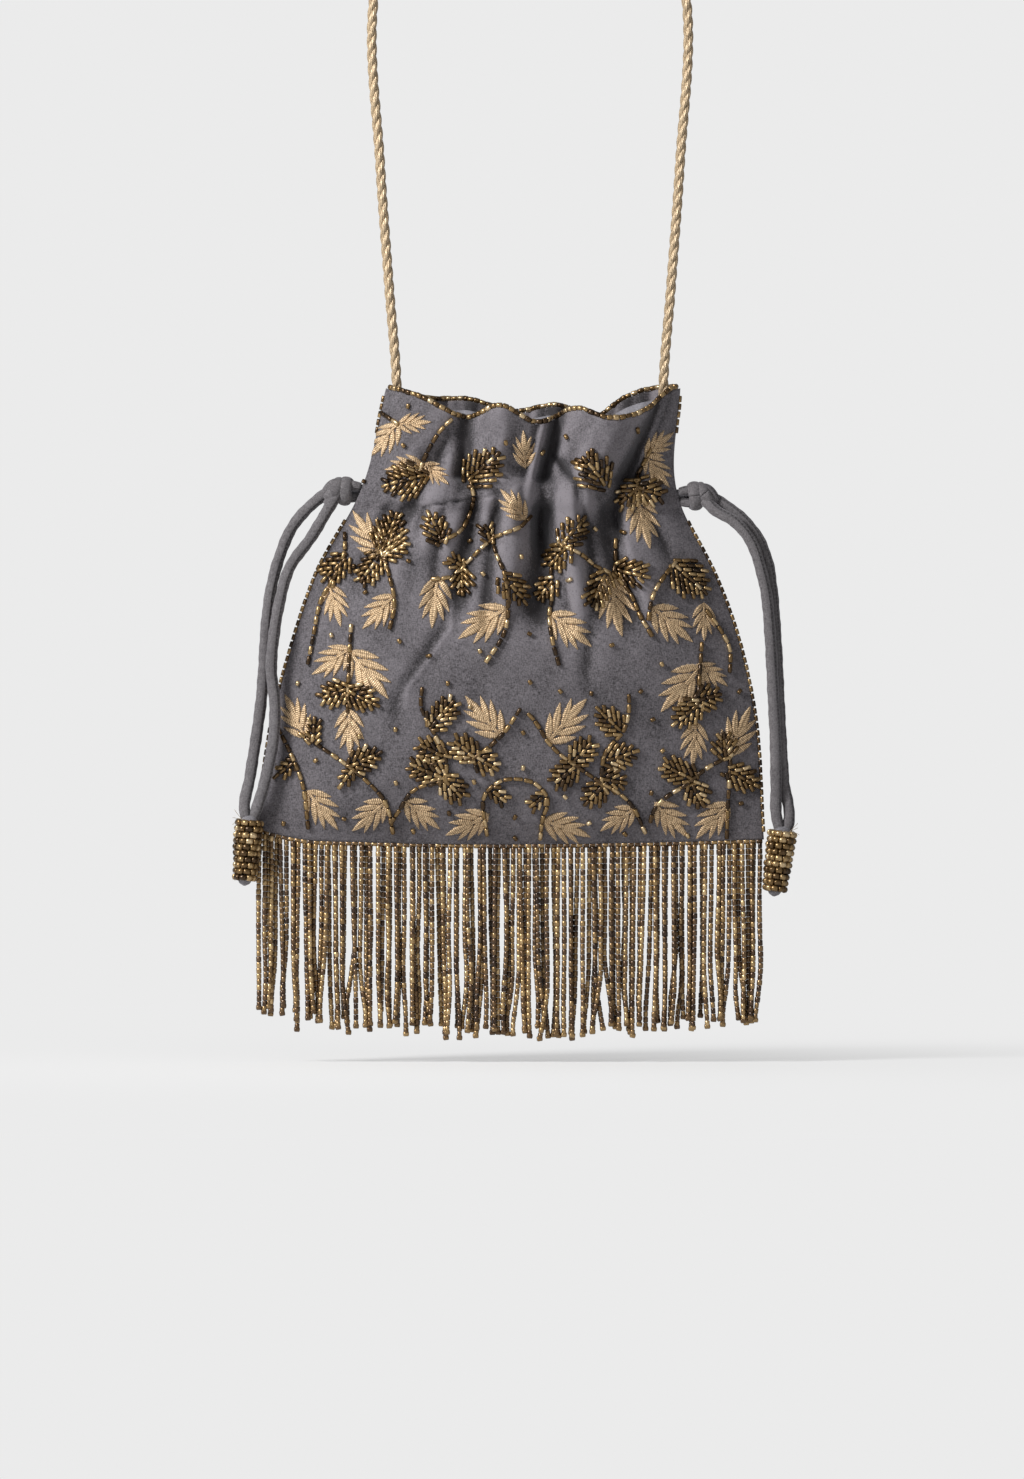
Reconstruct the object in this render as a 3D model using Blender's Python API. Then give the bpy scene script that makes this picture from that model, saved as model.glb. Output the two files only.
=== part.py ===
"""A drawstring pouch of beaded and embroidered cloth with a bead fringe, hung by its twisted rope strap.

The origin is the top of the strap's loop, where the pouch hangs. +Z is up, -Y is the embroidered front.
"""

import math

import bmesh
import bpy
import numpy as np
from mathutils import Vector
from mathutils.bvhtree import BVHTree

# The pouch's outline, from the base seam up to the rim
BASE_Z = -0.4265
BAG_HEIGHT = 0.192
CASING_HEIGHT = 0.1485
BASE_HALF_WIDTH = 0.107
HIP_HALF_WIDTH = 0.1004
SHOULDER_HALF_WIDTH = 0.0842
NECK_HALF_WIDTH = 0.0666
RIM_HALF_WIDTH = 0.062
BASE_LEAN = -0.0085
BELLY_LEAN = -0.0057
NECK_LEAN = -0.0048
RIM_LEAN = 0.0013
BELLY_DEPTH = 0.0215
NECK_DEPTH = 0.015
RIM_DEPTH = 0.018
SEAM_FULLNESS = 2.6
RIM_FULLNESS = 7.0

# Cloth, lining and the clearance between sewn layers
CLOTH = 0.0008
LINING = 0.0005
CLEARANCE = 0.0003
SEAM_GAP = 0.0003
CORD_SLACK = 0.0014
LINING_SLACK = 0.0010
SPRAY_GAP = 0.0005
CASING_SLIT = 0.0030
SLIT_HEIGHT = 0.0070
LINING_START = 0.008
LINING_DROP = 0.0010
LINING_SPAN = 0.940
LINING_FLARE_START = 0.85
RIM_FLARE = 0.045
CHANNEL_PINCH = 0.065
CHANNEL_HEIGHT = 0.0110

# The drawstrings: soft tubes of cloth, pressed flatter where they run through the casing
STRING_DIAMETER = 0.0046
CASING_CORD = 0.0022
CASING_CORD_STEP = 0.0040
KNOT_LENGTH = 0.0155
KNOT_RING = 0.0042
KNOT_CORE = 0.0045
KNOT_VOXEL = 0.0009
KNOT_FACES_KEPT = 0.15
LEFT_KNOT_DEPTH = -0.001
RIGHT_KNOT_DEPTH = -0.003
RIGHT_KNOT_DROP = 0.0021
LEFT_KNOT_STANDOFF = 0.0
RIGHT_KNOT_STANDOFF = 0.0012

# Each turn of a knot: its place along the knot, its rise, and how far its axis leans forward and up
KNOT_TURNS = ((-0.0020, 0.0002, 0.15, 0.25), (0.0026, 0.0006, -0.20, -0.75))

# The beaded pulls on the drawstrings' ends
PULL_LENGTH = 0.030
LEFT_PULL_SWAY = -0.0024
RIGHT_PULL_SWAY = -0.0041
PULL_RADIUS = 0.0056
PULL_END_RADIUS = 0.0045
PULL_ROWS = 11
PULL_WALL = 0.0016
PULL_CAP = 0.0022
PULL_SLACK = 0.0002
BEAD_VALLEY = 0.0007

# Beads, the fringe and the strap
BEAD = 0.0020
RIM_BEAD_SPAN = 0.97
SEAM_BEAD_START = 0.045
SEAM_BEAD_STOP = 0.06
FRINGE_SPAN = 0.985
FRINGE_UNEVENNESS = 0.036
FRINGE_SWAY = 0.0005
FRINGE_LENGTH = 0.080
FRINGE_STRANDS = 80
FRINGE_HEADER = 0.0016
STRAP_DIAMETER = 0.0044
STRAP_HALF_SPAN = 0.066
STRAP_FOOT = 0.0562
STRAP_ARCH = 0.072
STRAP_TUCK = 0.016
STRAP_BOW = ((0.25, 0.31), (0.58, 0.71))
TAB_START = 0.0020
TAB_HEIGHT = 0.0080
TAB_THICKNESS = 0.0006

# How far the beads and the gold thread stand off the cloth
STITCH_HEIGHT = 0.0011
LEAF_BEAD_HEIGHT = 0.0017
STEM_BEAD_HEIGHT = 0.0021
STEM_WIDTH = 0.0019
STEM_SPACING = 0.0075
LAYER_STEP = 0.00004

# Each lobe of a leaf: how far along the leaf, and its spread as a share of the leaf's fullness
BEADED_LOBES = ((0.30, 0.85), (0.68, 0.80))
STITCHED_LOBES = ((0.22, 0.62), (0.52, 0.95), (0.62, 0.42))
BEADED_FULLNESS = 0.34
STITCHED_FULLNESS = 0.37

# The embroidery chart: one step is CHART_STEP, and its middle line and base seam lie at these steps
CHART_STEP = 0.00042
CHART_MIDDLE = 530
CHART_BASE = 843

COLUMNS = 28
CORD_TURN_COLUMNS = 1
LINING_EDGE_COLUMNS = 2
PANEL_ROWS = (0.0, 0.06, 0.15, 0.27, 0.41, 0.53, 0.61, 0.67, 0.72, 0.775, 0.83, 0.91, 1.0)
LINING_ROWS = (0.15, 0.41, 0.61, 0.67, 0.72, 0.775, 0.83, 0.89)

# Each fold: place across and share of the height at its low end, the same at its high end,
# its width at both ends as a share of the half width, and how far it pushes the cloth out
FRONT_FOLDS = (
    (-0.37, 0.81, -0.45, 1.00, 0.075, 0.085, -0.0045),
    (-0.18, 0.80, -0.20, 1.00, 0.100, 0.100, 0.0025),
    (0.14, 0.69, 0.16, 1.00, 0.070, 0.070, -0.0062),
    (0.45, 0.76, 0.53, 1.00, 0.090, 0.230, 0.0055),
    (0.58, 0.73, 0.84, 1.00, 0.070, 0.070, -0.0038),
    (0.11, 0.57, 0.13, 0.69, 0.110, 0.090, -0.0036),
    (-0.27, 0.62, -0.27, 0.75, 0.080, 0.070, -0.0024),
    (0.52, 0.58, 0.50, 0.73, 0.090, 0.080, -0.0032),
    (-0.47, 0.70, -0.45, 0.76, 0.130, 0.130, 0.0026),
    (-0.04, 0.60, -0.03, 0.74, 0.080, 0.080, 0.0020),
    (0.30, 0.57, 0.31, 0.74, 0.080, 0.080, 0.0024),
    (0.70, 0.60, 0.69, 0.70, 0.090, 0.090, 0.0015),
    (-0.68, 0.73, -0.66, 0.82, 0.070, 0.070, -0.0016),
    (-0.50, 0.32, -0.33, 0.48, 0.050, 0.050, -0.0008),
)
BACK_GATHERS = 4
BACK_GATHER_DEPTH = 0.0030

# The rim's dip below its corners: place across, then the drop
FRONT_RIM = ((-1.0, 0.0), (-0.78, 0.0045), (-0.42, 0.0134), (-0.24, 0.0088), (0.02, 0.0158), (0.30, 0.0100),
             (0.50, 0.0142), (0.76, 0.0105), (0.95, 0.0008), (1.0, 0.0))
BACK_RIM = ((-1.0, 0.0), (-0.72, 0.0042), (-0.45, 0.0046), (-0.14, 0.0097), (0.16, 0.0072), (0.46, 0.0113),
            (0.60, 0.0050), (0.80, 0.0004), (1.0, 0.0))
BASE_SAG = ((-1.0, 0.0066), (-0.86, 0.0028), (-0.55, 0.0008), (-0.2, 0.0), (0.5, 0.0006), (1.0, 0.0020))

# Routes of the drawstring tails from their knot: across, depth and height, chosen by hand
LEFT_OUTER_TAIL = ((-0.0080, -0.001, -0.0016), (-0.0202, -0.001, -0.0139), (-0.0265, -0.001, -0.0281),
                   (-0.0298, -0.001, -0.0407), (-0.0319, -0.001, -0.0567), (-0.0328, -0.001, -0.0722),
                   (-0.0340, -0.001, -0.0878), (-0.0361, -0.002, -0.1037), (-0.0386, -0.004, -0.1200),
                   (-0.0411, -0.005, -0.1353))
LEFT_INNER_TAIL = ((-0.0052, -0.004, -0.0062), (-0.0126, -0.005, -0.0190), (-0.0220, -0.005, -0.0323),
                   (-0.0262, -0.006, -0.0470), (-0.0286, -0.007, -0.0617), (-0.0296, -0.007, -0.0743),
                   (-0.0281, -0.0075, -0.0890), (-0.0286, -0.0075, -0.1037), (-0.0318, -0.0070, -0.1200),
                   (-0.0360, -0.0052, -0.1353))
RIGHT_OUTER_TAIL = ((0.0076, 0.000, -0.0015), (0.0176, -0.001, -0.0085), (0.0252, -0.001, -0.0176),
                    (0.0290, -0.001, -0.0269), (0.0311, -0.001, -0.0395), (0.0323, -0.001, -0.0542),
                    (0.0332, -0.001, -0.0689), (0.0340, -0.001, -0.0857), (0.0349, -0.001, -0.1025),
                    (0.0360, -0.002, -0.1200), (0.0382, -0.0050, -0.1377))
RIGHT_INNER_TAIL = ((0.0060, -0.0040, -0.0050), (0.0155, -0.006, -0.0110), (0.0223, -0.006, -0.0196),
                    (0.0260, -0.006, -0.0300), (0.0286, -0.006, -0.0416), (0.0298, -0.006, -0.0542),
                    (0.0307, -0.006, -0.0689), (0.0315, -0.006, -0.0857), (0.0323, -0.006, -0.1025),
                    (0.0326, -0.006, -0.1200), (0.0331, -0.0056, -0.1377))
LEFT_PULL_TOP = (-0.0386, -0.0050, -0.1360)
RIGHT_PULL_TOP = (0.0357, -0.0056, -0.1385)

# The embroidery, spray by spray: bead stems, beaded leaves and stitched leaves, each from base to tip
SPRAYS = {
    "collar_leaf_pair": {
        "stems": (((381, 410), (400, 423)),),
        "beaded": (),
        "stitched": (((397, 423), (432, 421)), ((400, 421), (369, 455))),
    },
    "collar_spray_left": {
        "stems": (((452, 417), (440, 429), (432, 442), (425, 456), (419, 470)),),
        "beaded": (((428, 472), (378, 488)),),
        "stitched": (((424, 462), (384, 470)), ((423, 461), (447, 484))),
    },
    "hub_spray_left": {
        "stems": (((381, 548), (390, 574), (395, 603), (390, 629)),),
        "beaded": (((379, 556), (413, 534)), ((382, 556), (400, 503)), ((384, 550), (356, 589))),
        "stitched": (((384, 556), (352, 508)), ((396, 593), (362, 628))),
    },
    "hanging_stem": {
        "stems": (((471, 478), (474, 496), (468, 513), (460, 529), (440, 542)),),
        "beaded": (((468, 483), (504, 448)), ((444, 545), (426, 505))),
        "stitched": (),
    },
    "centre_spray": {
        "stems": (((530, 514), (520, 526), (507, 532), (490, 540), (469, 561), (450, 576), (430, 578)),
                  ((494, 536), (497, 552), (504, 570), (507, 590), (505, 630), (485, 662))),
        "beaded": (((490, 542), (482, 512)), ((464, 567), (438, 551)), ((461, 566), (465, 604)),
                   ((501, 574), (530, 608))),
        "stitched": (((526, 520), (500, 488)), ((438, 574), (432, 628)), ((509, 606), (460, 636))),
    },
    "cup_spray": {
        "stems": (((552, 585), (553, 597), (550, 611), (551, 633), (559, 665)),),
        "beaded": (((554, 583), (533, 606)),),
        "stitched": (((548, 612), (592, 646)),),
    },
    "scoop_leaf": {"stems": (), "beaded": (((606, 486), (577, 448)),), "stitched": ()},
    "hub_spray_right": {
        "stems": (((560, 543), (580, 554), (591, 563), (604, 570), (627, 586), (643, 620), (652, 636)),
                  ((612, 572), (616, 556), (616, 537))),
        "beaded": (((562, 546), (588, 510)), ((570, 544), (542, 574)), ((606, 570), (587, 606)),
                   ((612, 566), (652, 579))),
        "stitched": (((608, 572), (622, 636)),),
    },
    "collar_spray_right": {
        "stems": (((636, 500), (640, 470), (650, 446)),),
        "beaded": (((632, 484), (672, 498)), ((643, 482), (611, 510))),
        "stitched": (((636, 494), (650, 545)), ((645, 452), (670, 486)), ((644, 455), (672, 432))),
    },
    "side_spray_right": {
        "stems": (((676, 560), (659, 581), (652, 594), (648, 620)),),
        "beaded": (((670, 561), (713, 599)),),
        "stitched": (((650, 605), (693, 641)),),
    },
    "side_spray_left": {
        "stems": (((345, 530), (345, 551), (335, 576), (323, 595), (314, 634), (308, 664)),),
        "beaded": (((350, 556), (318, 585)),),
        "stitched": (((327, 583), (342, 626)),),
    },
    "cross_motif_left": {
        "stems": (((352, 622), (350, 655), (348, 712)),),
        "beaded": (((351, 686), (313, 703)), ((345, 690), (385, 709))),
        "stitched": (((353, 648), (313, 673)), ((348, 650), (388, 697)), ((349, 705), (350, 754))),
    },
    "cross_motif_right": {
        "stems": (((701, 640), (699, 670), (696, 718)),),
        "beaded": (((701, 700), (667, 728)), ((693, 700), (728, 692))),
        "stitched": (((702, 663), (660, 709)), ((696, 662), (727, 685)), ((696, 719), (692, 764))),
    },
    "garland_left": {
        "stems": (((277, 725), (289, 748), (302, 780), (308, 828)),),
        "beaded": (((296, 760), (271, 779)),),
        "stitched": (((304, 789), (337, 829)),),
    },
    "garland_arc_left": {
        "stems": (((298, 731), (325, 748), (362, 775), (386, 801), (393, 832)),
                  ((390, 822), (400, 807), (411, 790), (427, 782), (446, 775)),
                  ((446, 782), (446, 757), (434, 731), (421, 703), (423, 685)),
                  ((443, 753), (471, 757), (488, 746), (501, 734), (521, 706))),
        "beaded": (((313, 744), (316, 711)), ((348, 766), (386, 749)), ((356, 764), (338, 788)),
                   ((446, 777), (401, 758)), ((441, 774), (470, 803)),
                   ((447, 756), (409, 738)), ((429, 728), (460, 693)), ((478, 758), (446, 732)),
                   ((474, 753), (504, 771))),
        "stitched": (((306, 738), (286, 693)), ((388, 798), (351, 829)), ((404, 798), (438, 828)),
                     ((503, 737), (466, 697))),
    },
    "garland_centre_right": {
        "stems": (((527, 711), (536, 721), (546, 738), (559, 752), (573, 762), (600, 780), (614, 788), (629, 800),
                   (646, 832)),
                  ((601, 784), (605, 750), (623, 729), (628, 711), (628, 692))),
        "beaded": (((570, 762), (600, 734)), ((578, 762), (545, 788)), ((623, 732), (592, 703)),
                   ((602, 760), (643, 747)), ((598, 776), (636, 783)), ((604, 782), (578, 809))),
        "stitched": (((546, 742), (587, 698)), ((636, 806), (601, 829))),
    },
    "base_arch": {
        "stems": (((487, 834), (486, 790), (500, 779), (518, 777), (536, 782), (548, 800), (543, 814), (540, 838)),),
        "beaded": (((491, 787), (515, 806)), ((545, 794), (521, 811))),
        "stitched": (((490, 812), (446, 830)), ((542, 818), (590, 836))),
    },
    "garland_right": {
        "stems": (((650, 821), (654, 807), (666, 795), (684, 784), (700, 771), (714, 762), (731, 755)),
                  ((730, 757), (728, 800), (727, 838))),
        "beaded": (((697, 780), (656, 760)), ((690, 780), (708, 813)), ((725, 759), (723, 722)),
                   ((726, 768), (765, 787))),
        "stitched": (((654, 800), (687, 835)), ((727, 756), (750, 705)), ((730, 804), (697, 836))),
    },
}

# Finishes: colour, roughness and metallic value
FINISHES = {
    "cloth": ((0.105, 0.098, 0.110), 0.78, 0.0),
    "lining": ((0.180, 0.172, 0.195), 0.70, 0.0),
    "tube_cloth": ((0.125, 0.120, 0.130), 0.75, 0.0),
    "bronze_beads": ((0.200, 0.125, 0.045), 0.30, 0.85),
    "fringe_beads": ((0.160, 0.115, 0.060), 0.35, 0.70),
    "gold_rope": ((0.420, 0.290, 0.140), 0.55, 0.20),
}


def clear_scene():
    """Start from an empty scene."""
    for item in list(bpy.data.objects):
        bpy.data.objects.remove(item, do_unlink=True)


def finish(name):
    """The Principled material of a named finish."""
    found = bpy.data.materials.get(name)
    if found:
        return found
    color, roughness, metallic = FINISHES[name]
    material = bpy.data.materials.new(name)
    material.use_nodes = True
    shader = material.node_tree.nodes["Principled BSDF"]
    shader.inputs["Base Color"].default_value = (*color, 1.0)
    shader.inputs["Roughness"].default_value = roughness
    shader.inputs["Metallic"].default_value = metallic
    return material


def add_mesh(name, points, faces, finish_name, parent=None):
    """A mesh object from points in the pouch's frame, hung on a parent empty if one is given."""
    mesh = bpy.data.meshes.new(name)
    origin = parent.location if parent else Vector()
    mesh.from_pydata([tuple(Vector(point) - origin) for point in points], [], faces)
    mesh.materials.append(finish(finish_name))
    mesh.validate()
    item = bpy.data.objects.new(name, mesh)
    bpy.context.collection.objects.link(item)
    item.parent = parent
    face_out(mesh)
    return item


def face_out(mesh):
    """Turn a closed mesh's faces outwards."""
    form = bmesh.new()
    form.from_mesh(mesh)
    bmesh.ops.recalc_face_normals(form, faces=form.faces)
    form.to_mesh(mesh)
    form.free()


def smooth_curve(stations, at):
    """A smooth curve through the stations: cubic pieces whose slopes are the mean slopes beside each station."""
    places, values = (np.array(column, float) for column in zip(*stations))
    slopes = np.gradient(values, places)
    at = np.clip(np.asarray(at, float), places[0], places[-1])
    piece = np.clip(np.searchsorted(places, at, side="right") - 1, 0, len(places) - 2)
    span = places[piece + 1] - places[piece]
    share = (at - places[piece]) / span
    rise = share * share * (3 - 2 * share)
    lean_in = share * (1 - share) ** 2
    lean_out = share * share * (share - 1)
    return (values[piece] + (values[piece + 1] - values[piece]) * rise
            + span * (slopes[piece] * lean_in + slopes[piece + 1] * lean_out))


CASING_SHARE = CASING_HEIGHT / BAG_HEIGHT


def half_width(share):
    """Half the pouch's width at a share of its height."""
    return smooth_curve(((0, BASE_HALF_WIDTH), (0.30, HIP_HALF_WIDTH), (0.586, SHOULDER_HALF_WIDTH),
                         (CASING_SHARE, NECK_HALF_WIDTH), (1, RIM_HALF_WIDTH)), share)


def lean(share):
    """How far the pouch's middle hangs off the strap's middle at a share of its height."""
    return smooth_curve(((0, BASE_LEAN), (0.40, BELLY_LEAN), (CASING_SHARE, NECK_LEAN), (1, RIM_LEAN)), share)


def depth(share):
    """How far each panel swells from the seam plane at a share of the height."""
    return smooth_curve(((0, 0), (0.06, 0.36 * BELLY_DEPTH), (0.20, 0.78 * BELLY_DEPTH), (0.42, BELLY_DEPTH),
                         (0.62, 0.92 * BELLY_DEPTH), (CASING_SHARE, NECK_DEPTH), (1, RIM_DEPTH)), share)


def fullness(share):
    """How squarely a panel turns into its side seam: a soft lens below the casing, rounder at the rim."""
    rise = np.clip((share - CASING_SHARE) / (1 - CASING_SHARE), 0, 1)
    return SEAM_FULLNESS + (RIM_FULLNESS - SEAM_FULLNESS) * rise


def height(across, share, side):
    """The height of a panel's point: straight from the sagging base seam to the casing, then up to the dipping rim."""
    casing = BASE_Z + CASING_HEIGHT
    base = BASE_Z + smooth_curve(BASE_SAG, across)
    rim = BASE_Z + BAG_HEIGHT - smooth_curve(FRONT_RIM if side < 0 else BACK_RIM, across)
    low = base + (casing - base) * share / CASING_SHARE
    high = casing + (rim - casing) * (share - CASING_SHARE) / (1 - CASING_SHARE)
    return np.where(share < CASING_SHARE, low, high)


def folds(across, share, side):
    """How far the gathers push the cloth out: bell-shaped ridges along their lines, or a row of even gathers behind."""
    fade = 1 - np.abs(across) ** 4
    if side > 0:
        rise = np.clip((share - 0.52) / (CASING_SHARE - 0.52), 0, 1)
        wave = np.cos(math.pi * (BACK_GATHERS * across + 0.35)) + 0.3 * np.cos(math.pi * 1.7 * BACK_GATHERS * across)
        return fade * rise * rise * BACK_GATHER_DEPTH * wave
    total = np.zeros(np.broadcast(across, share).shape)
    for low_across, low, high_across, high, low_width, high_width, push in FRONT_FOLDS:
        along = np.clip((share - low) / (high - low), 0, 1)
        middle = low_across + (high_across - low_across) * along
        width = low_width + (high_width - low_width) * along
        past = (share - low - (high - low) * along) / 0.055
        total += push * np.exp(-((across - middle) / width) ** 2) * np.exp(-past ** 2)
    return fade * total


def slit(share):
    """Half the gap between the panels at the side seams: sewn shut, and open where the drawstrings leave the casing."""
    rise = (share * BAG_HEIGHT - CASING_HEIGHT) / SLIT_HEIGHT
    return SEAM_GAP / 2 + CASING_SLIT * np.exp(-rise ** 4)


def panel_point(across, share, side, inset=0.0):
    """A point of a panel's outer face, or of a layer that lies inset behind it. side is -1 in front and 1 behind."""
    across, share = np.broadcast_arrays(np.asarray(across, float), np.asarray(share, float))
    swell = depth(share) * (1 - np.abs(across) ** fullness(share))
    out = slit(share) + CLOTH + swell + folds(across, share, side) - inset
    return np.stack([lean(share) + half_width(share) * across, side * out, height(across, share, side)], axis=-1)


def grid_faces(rows, columns, start=0, flip=False):
    """Triangles over a grid of points, row after row."""
    faces = []
    for row in range(rows - 1):
        for column in range(columns - 1):
            a = start + row * columns + column
            b, c, d = a + 1, a + columns + 1, a + columns
            pair = [(a, b, c), (a, c, d)]
            faces += [face[::-1] for face in pair] if flip else pair
    return faces


def edge_loop(rows, columns):
    """The grid's border points in order."""
    loop = list(range(columns - 1))
    loop += [row * columns + columns - 1 for row in range(rows - 1)]
    loop += [rows * columns - 1 - column for column in range(columns - 1)]
    loop += [(rows - 1 - row) * columns for row in range(rows - 1)]
    return loop


def make_panel(name, side):
    """One face of the pouch: a sheet of cloth from seam to seam and from base to rim, with its gathers."""
    across, share = np.meshgrid(np.linspace(-1, 1, COLUMNS + 1), PANEL_ROWS)
    outer = panel_point(across, share, side).reshape(-1, 3)
    inner = panel_point(across, share, side, CLOTH).reshape(-1, 3)
    rows, columns = across.shape
    faces = grid_faces(rows, columns) + grid_faces(rows, columns, len(outer), flip=True)
    loop = edge_loop(rows, columns)
    for a, b in zip(loop, loop[1:] + loop[:1]):
        faces += [(b, a, a + len(outer)), (b, a + len(outer), b + len(outer))]
    return add_mesh(name, np.concatenate([outer, inner]), faces, "cloth")


def channel(share):
    """The casing's channel at a share of the height, from 0 to 1, where the lining stands back for the drawstrings."""
    return np.exp(-((share * BAG_HEIGHT - CASING_HEIGHT) / CHANNEL_HEIGHT) ** 4)


def lining_ring(share, inset):
    """One level of the lining: along the front from left to right, then back along the rear."""
    near_rim = max(0.0, (share - LINING_FLARE_START) / (1 - LINING_FLARE_START))
    limit = LINING_SPAN - CHANNEL_PINCH * channel(share) + RIM_FLARE * near_rim - 0.6 * inset / NECK_HALF_WIDTH
    across = np.linspace(-1, 1, COLUMNS + 1)[LINING_EDGE_COLUMNS:-LINING_EDGE_COLUMNS]
    across = np.concatenate([[-limit], across, [limit]])
    room = CLOTH + CLEARANCE + LINING_SLACK + inset + channel(share) * (CASING_CORD + 2 * CORD_SLACK)
    least = SEAM_GAP + LINING - inset * 0.8
    ring = []
    for side, order in ((-1, across), (1, across[::-1])):
        line = panel_point(order, share, side, room)
        line[:, 1] = side * np.maximum(side * line[:, 1], least)
        ring.append(line)
    return np.concatenate(ring)


def make_lining():
    """The lining bag: a thin pocket that hangs inside the panels and stands back from them at the casing."""
    top = 1 - LINING_DROP / (BAG_HEIGHT - CASING_HEIGHT)
    bottom = LINING_START / BAG_HEIGHT
    levels = [bottom, *LINING_ROWS, top]
    outer = [lining_ring(level, 0.0) for level in levels]
    inner = [lining_ring(level, LINING) for level in levels]
    inner[0] = inner[0] + (0, 0, LINING)
    count = len(outer[0])
    points = np.concatenate(outer + inner)
    shift = count * len(levels)
    faces = []
    for row in range(len(levels) - 1):
        for spot in range(count):
            a, b = row * count + spot, row * count + (spot + 1) % count
            faces += [(a, b, b + count), (a, b + count, a + count)]
            faces += [(b + shift, a + shift, b + count + shift), (b + count + shift, a + shift, a + count + shift)]
    rim = count * (len(levels) - 1)
    for spot in range(count):
        a, b = rim + spot, rim + (spot + 1) % count
        faces += [(a, b, b + shift), (a, b + shift, a + shift)]
    half = count // 2
    for spot in range(half - 1):
        mate = count - 1 - spot
        faces += [(spot, mate, mate - 1), (spot, mate - 1, spot + 1)]
        faces += [(mate + shift, spot + shift, mate - 1 + shift), (mate - 1 + shift, spot + shift, spot + 1 + shift)]
    return add_mesh("lining", points, faces, "lining")


def add_tube(name, points, radius, finish_name, parent=None, resolution=1):
    """A round cord through the points, with closed ends."""
    curve = bpy.data.curves.new(name, "CURVE")
    curve.dimensions = "3D"
    curve.bevel_depth = radius
    curve.bevel_resolution = resolution
    curve.use_fill_caps = True
    spline = curve.splines.new("POLY")
    spline.points.add(len(points) - 1)
    origin = parent.location if parent else Vector()
    for spot, point in zip(spline.points, points):
        spot.co = (*(Vector(point) - origin), 1.0)
    curve.materials.append(finish(finish_name))
    item = bpy.data.objects.new(name, curve)
    bpy.context.collection.objects.link(item)
    item.parent = parent
    return item


def resample(route, spacing):
    """Evenly spaced points on one smooth curve through a route's own points."""
    route = np.array(route, float)
    steps = np.concatenate([[0], np.cumsum(np.linalg.norm(np.diff(route, axis=0), axis=1))])
    fine = np.linspace(0, steps[-1], 40 * len(route))
    line = np.stack([smooth_curve(tuple(zip(steps, route[:, axis])), fine) for axis in range(3)], axis=-1)
    lengths = np.concatenate([[0], np.cumsum(np.linalg.norm(np.diff(line, axis=0), axis=1))])
    wanted = np.linspace(0, lengths[-1], max(3, round(lengths[-1] / spacing) + 1))
    return np.stack([np.interp(wanted, lengths, line[:, axis]) for axis in range(3)], axis=-1)


def make_casing_cord(name, exit_side, rise):
    """A drawstring inside the casing: in at its own side seam, round the far seam and back out beside itself."""
    share = (CASING_HEIGHT + rise) / BAG_HEIGHT
    radius = CASING_CORD / 2
    room = CLOTH + CORD_SLACK + radius
    apart = radius + CLEARANCE
    order = exit_side * np.linspace(1, -1, COLUMNS + 1)[:-CORD_TURN_COLUMNS]
    turn = abs(order[-1])
    legs = []
    for side, line in ((-1, order), (1, order[::-1])):
        leg = panel_point(line, share, side, room)
        leg[:, 1] = side * np.maximum(side * leg[:, 1], apart)
        leg[:, 2] = BASE_Z + CASING_HEIGHT + rise
        legs.append(leg)
    far = -exit_side
    bend = []
    for angle in (-50, 0, 50):
        reach = turn * half_width(share) + apart * 1.2 * math.cos(math.radians(angle))
        bend.append((far * reach + lean(share), apart * 1.1 * math.sin(math.radians(angle)), legs[0][0, 2]))
    add_tube(name, np.concatenate([legs[0], bend, legs[1]]), radius, "tube_cloth", resolution=0)


def add_edge_beads(name, points, radius=BEAD / 2):
    """A row of edging beads as one fine cord along the points."""
    add_tube(name, points, radius, "bronze_beads")


def make_edging():
    """The bead rows on both rims and down both side seams."""
    across = np.linspace(-RIM_BEAD_SPAN, RIM_BEAD_SPAN, COLUMNS - 1)
    lift = BEAD / 2 + CLEARANCE
    for name, side in (("front_rim_beads", -1), ("back_rim_beads", 1)):
        line = panel_point(across, 1.0, side, CLOTH / 2)
        line[:, 2] += lift + CLOTH / 2
        line[:, 1] += side * max(0.0, BEAD / 2 - CLOTH)
        add_edge_beads(name, line)
    below = np.linspace(SEAM_BEAD_START, CASING_SHARE - SEAM_BEAD_STOP, 15)
    for name, side in (("left_seam_beads", -1), ("right_seam_beads", 1)):
        line = panel_point(side, below, -1)
        line[:, 0] += side * (lift + CLEARANCE)
        line[:, 1] = 0
        add_edge_beads(name, line)


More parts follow.
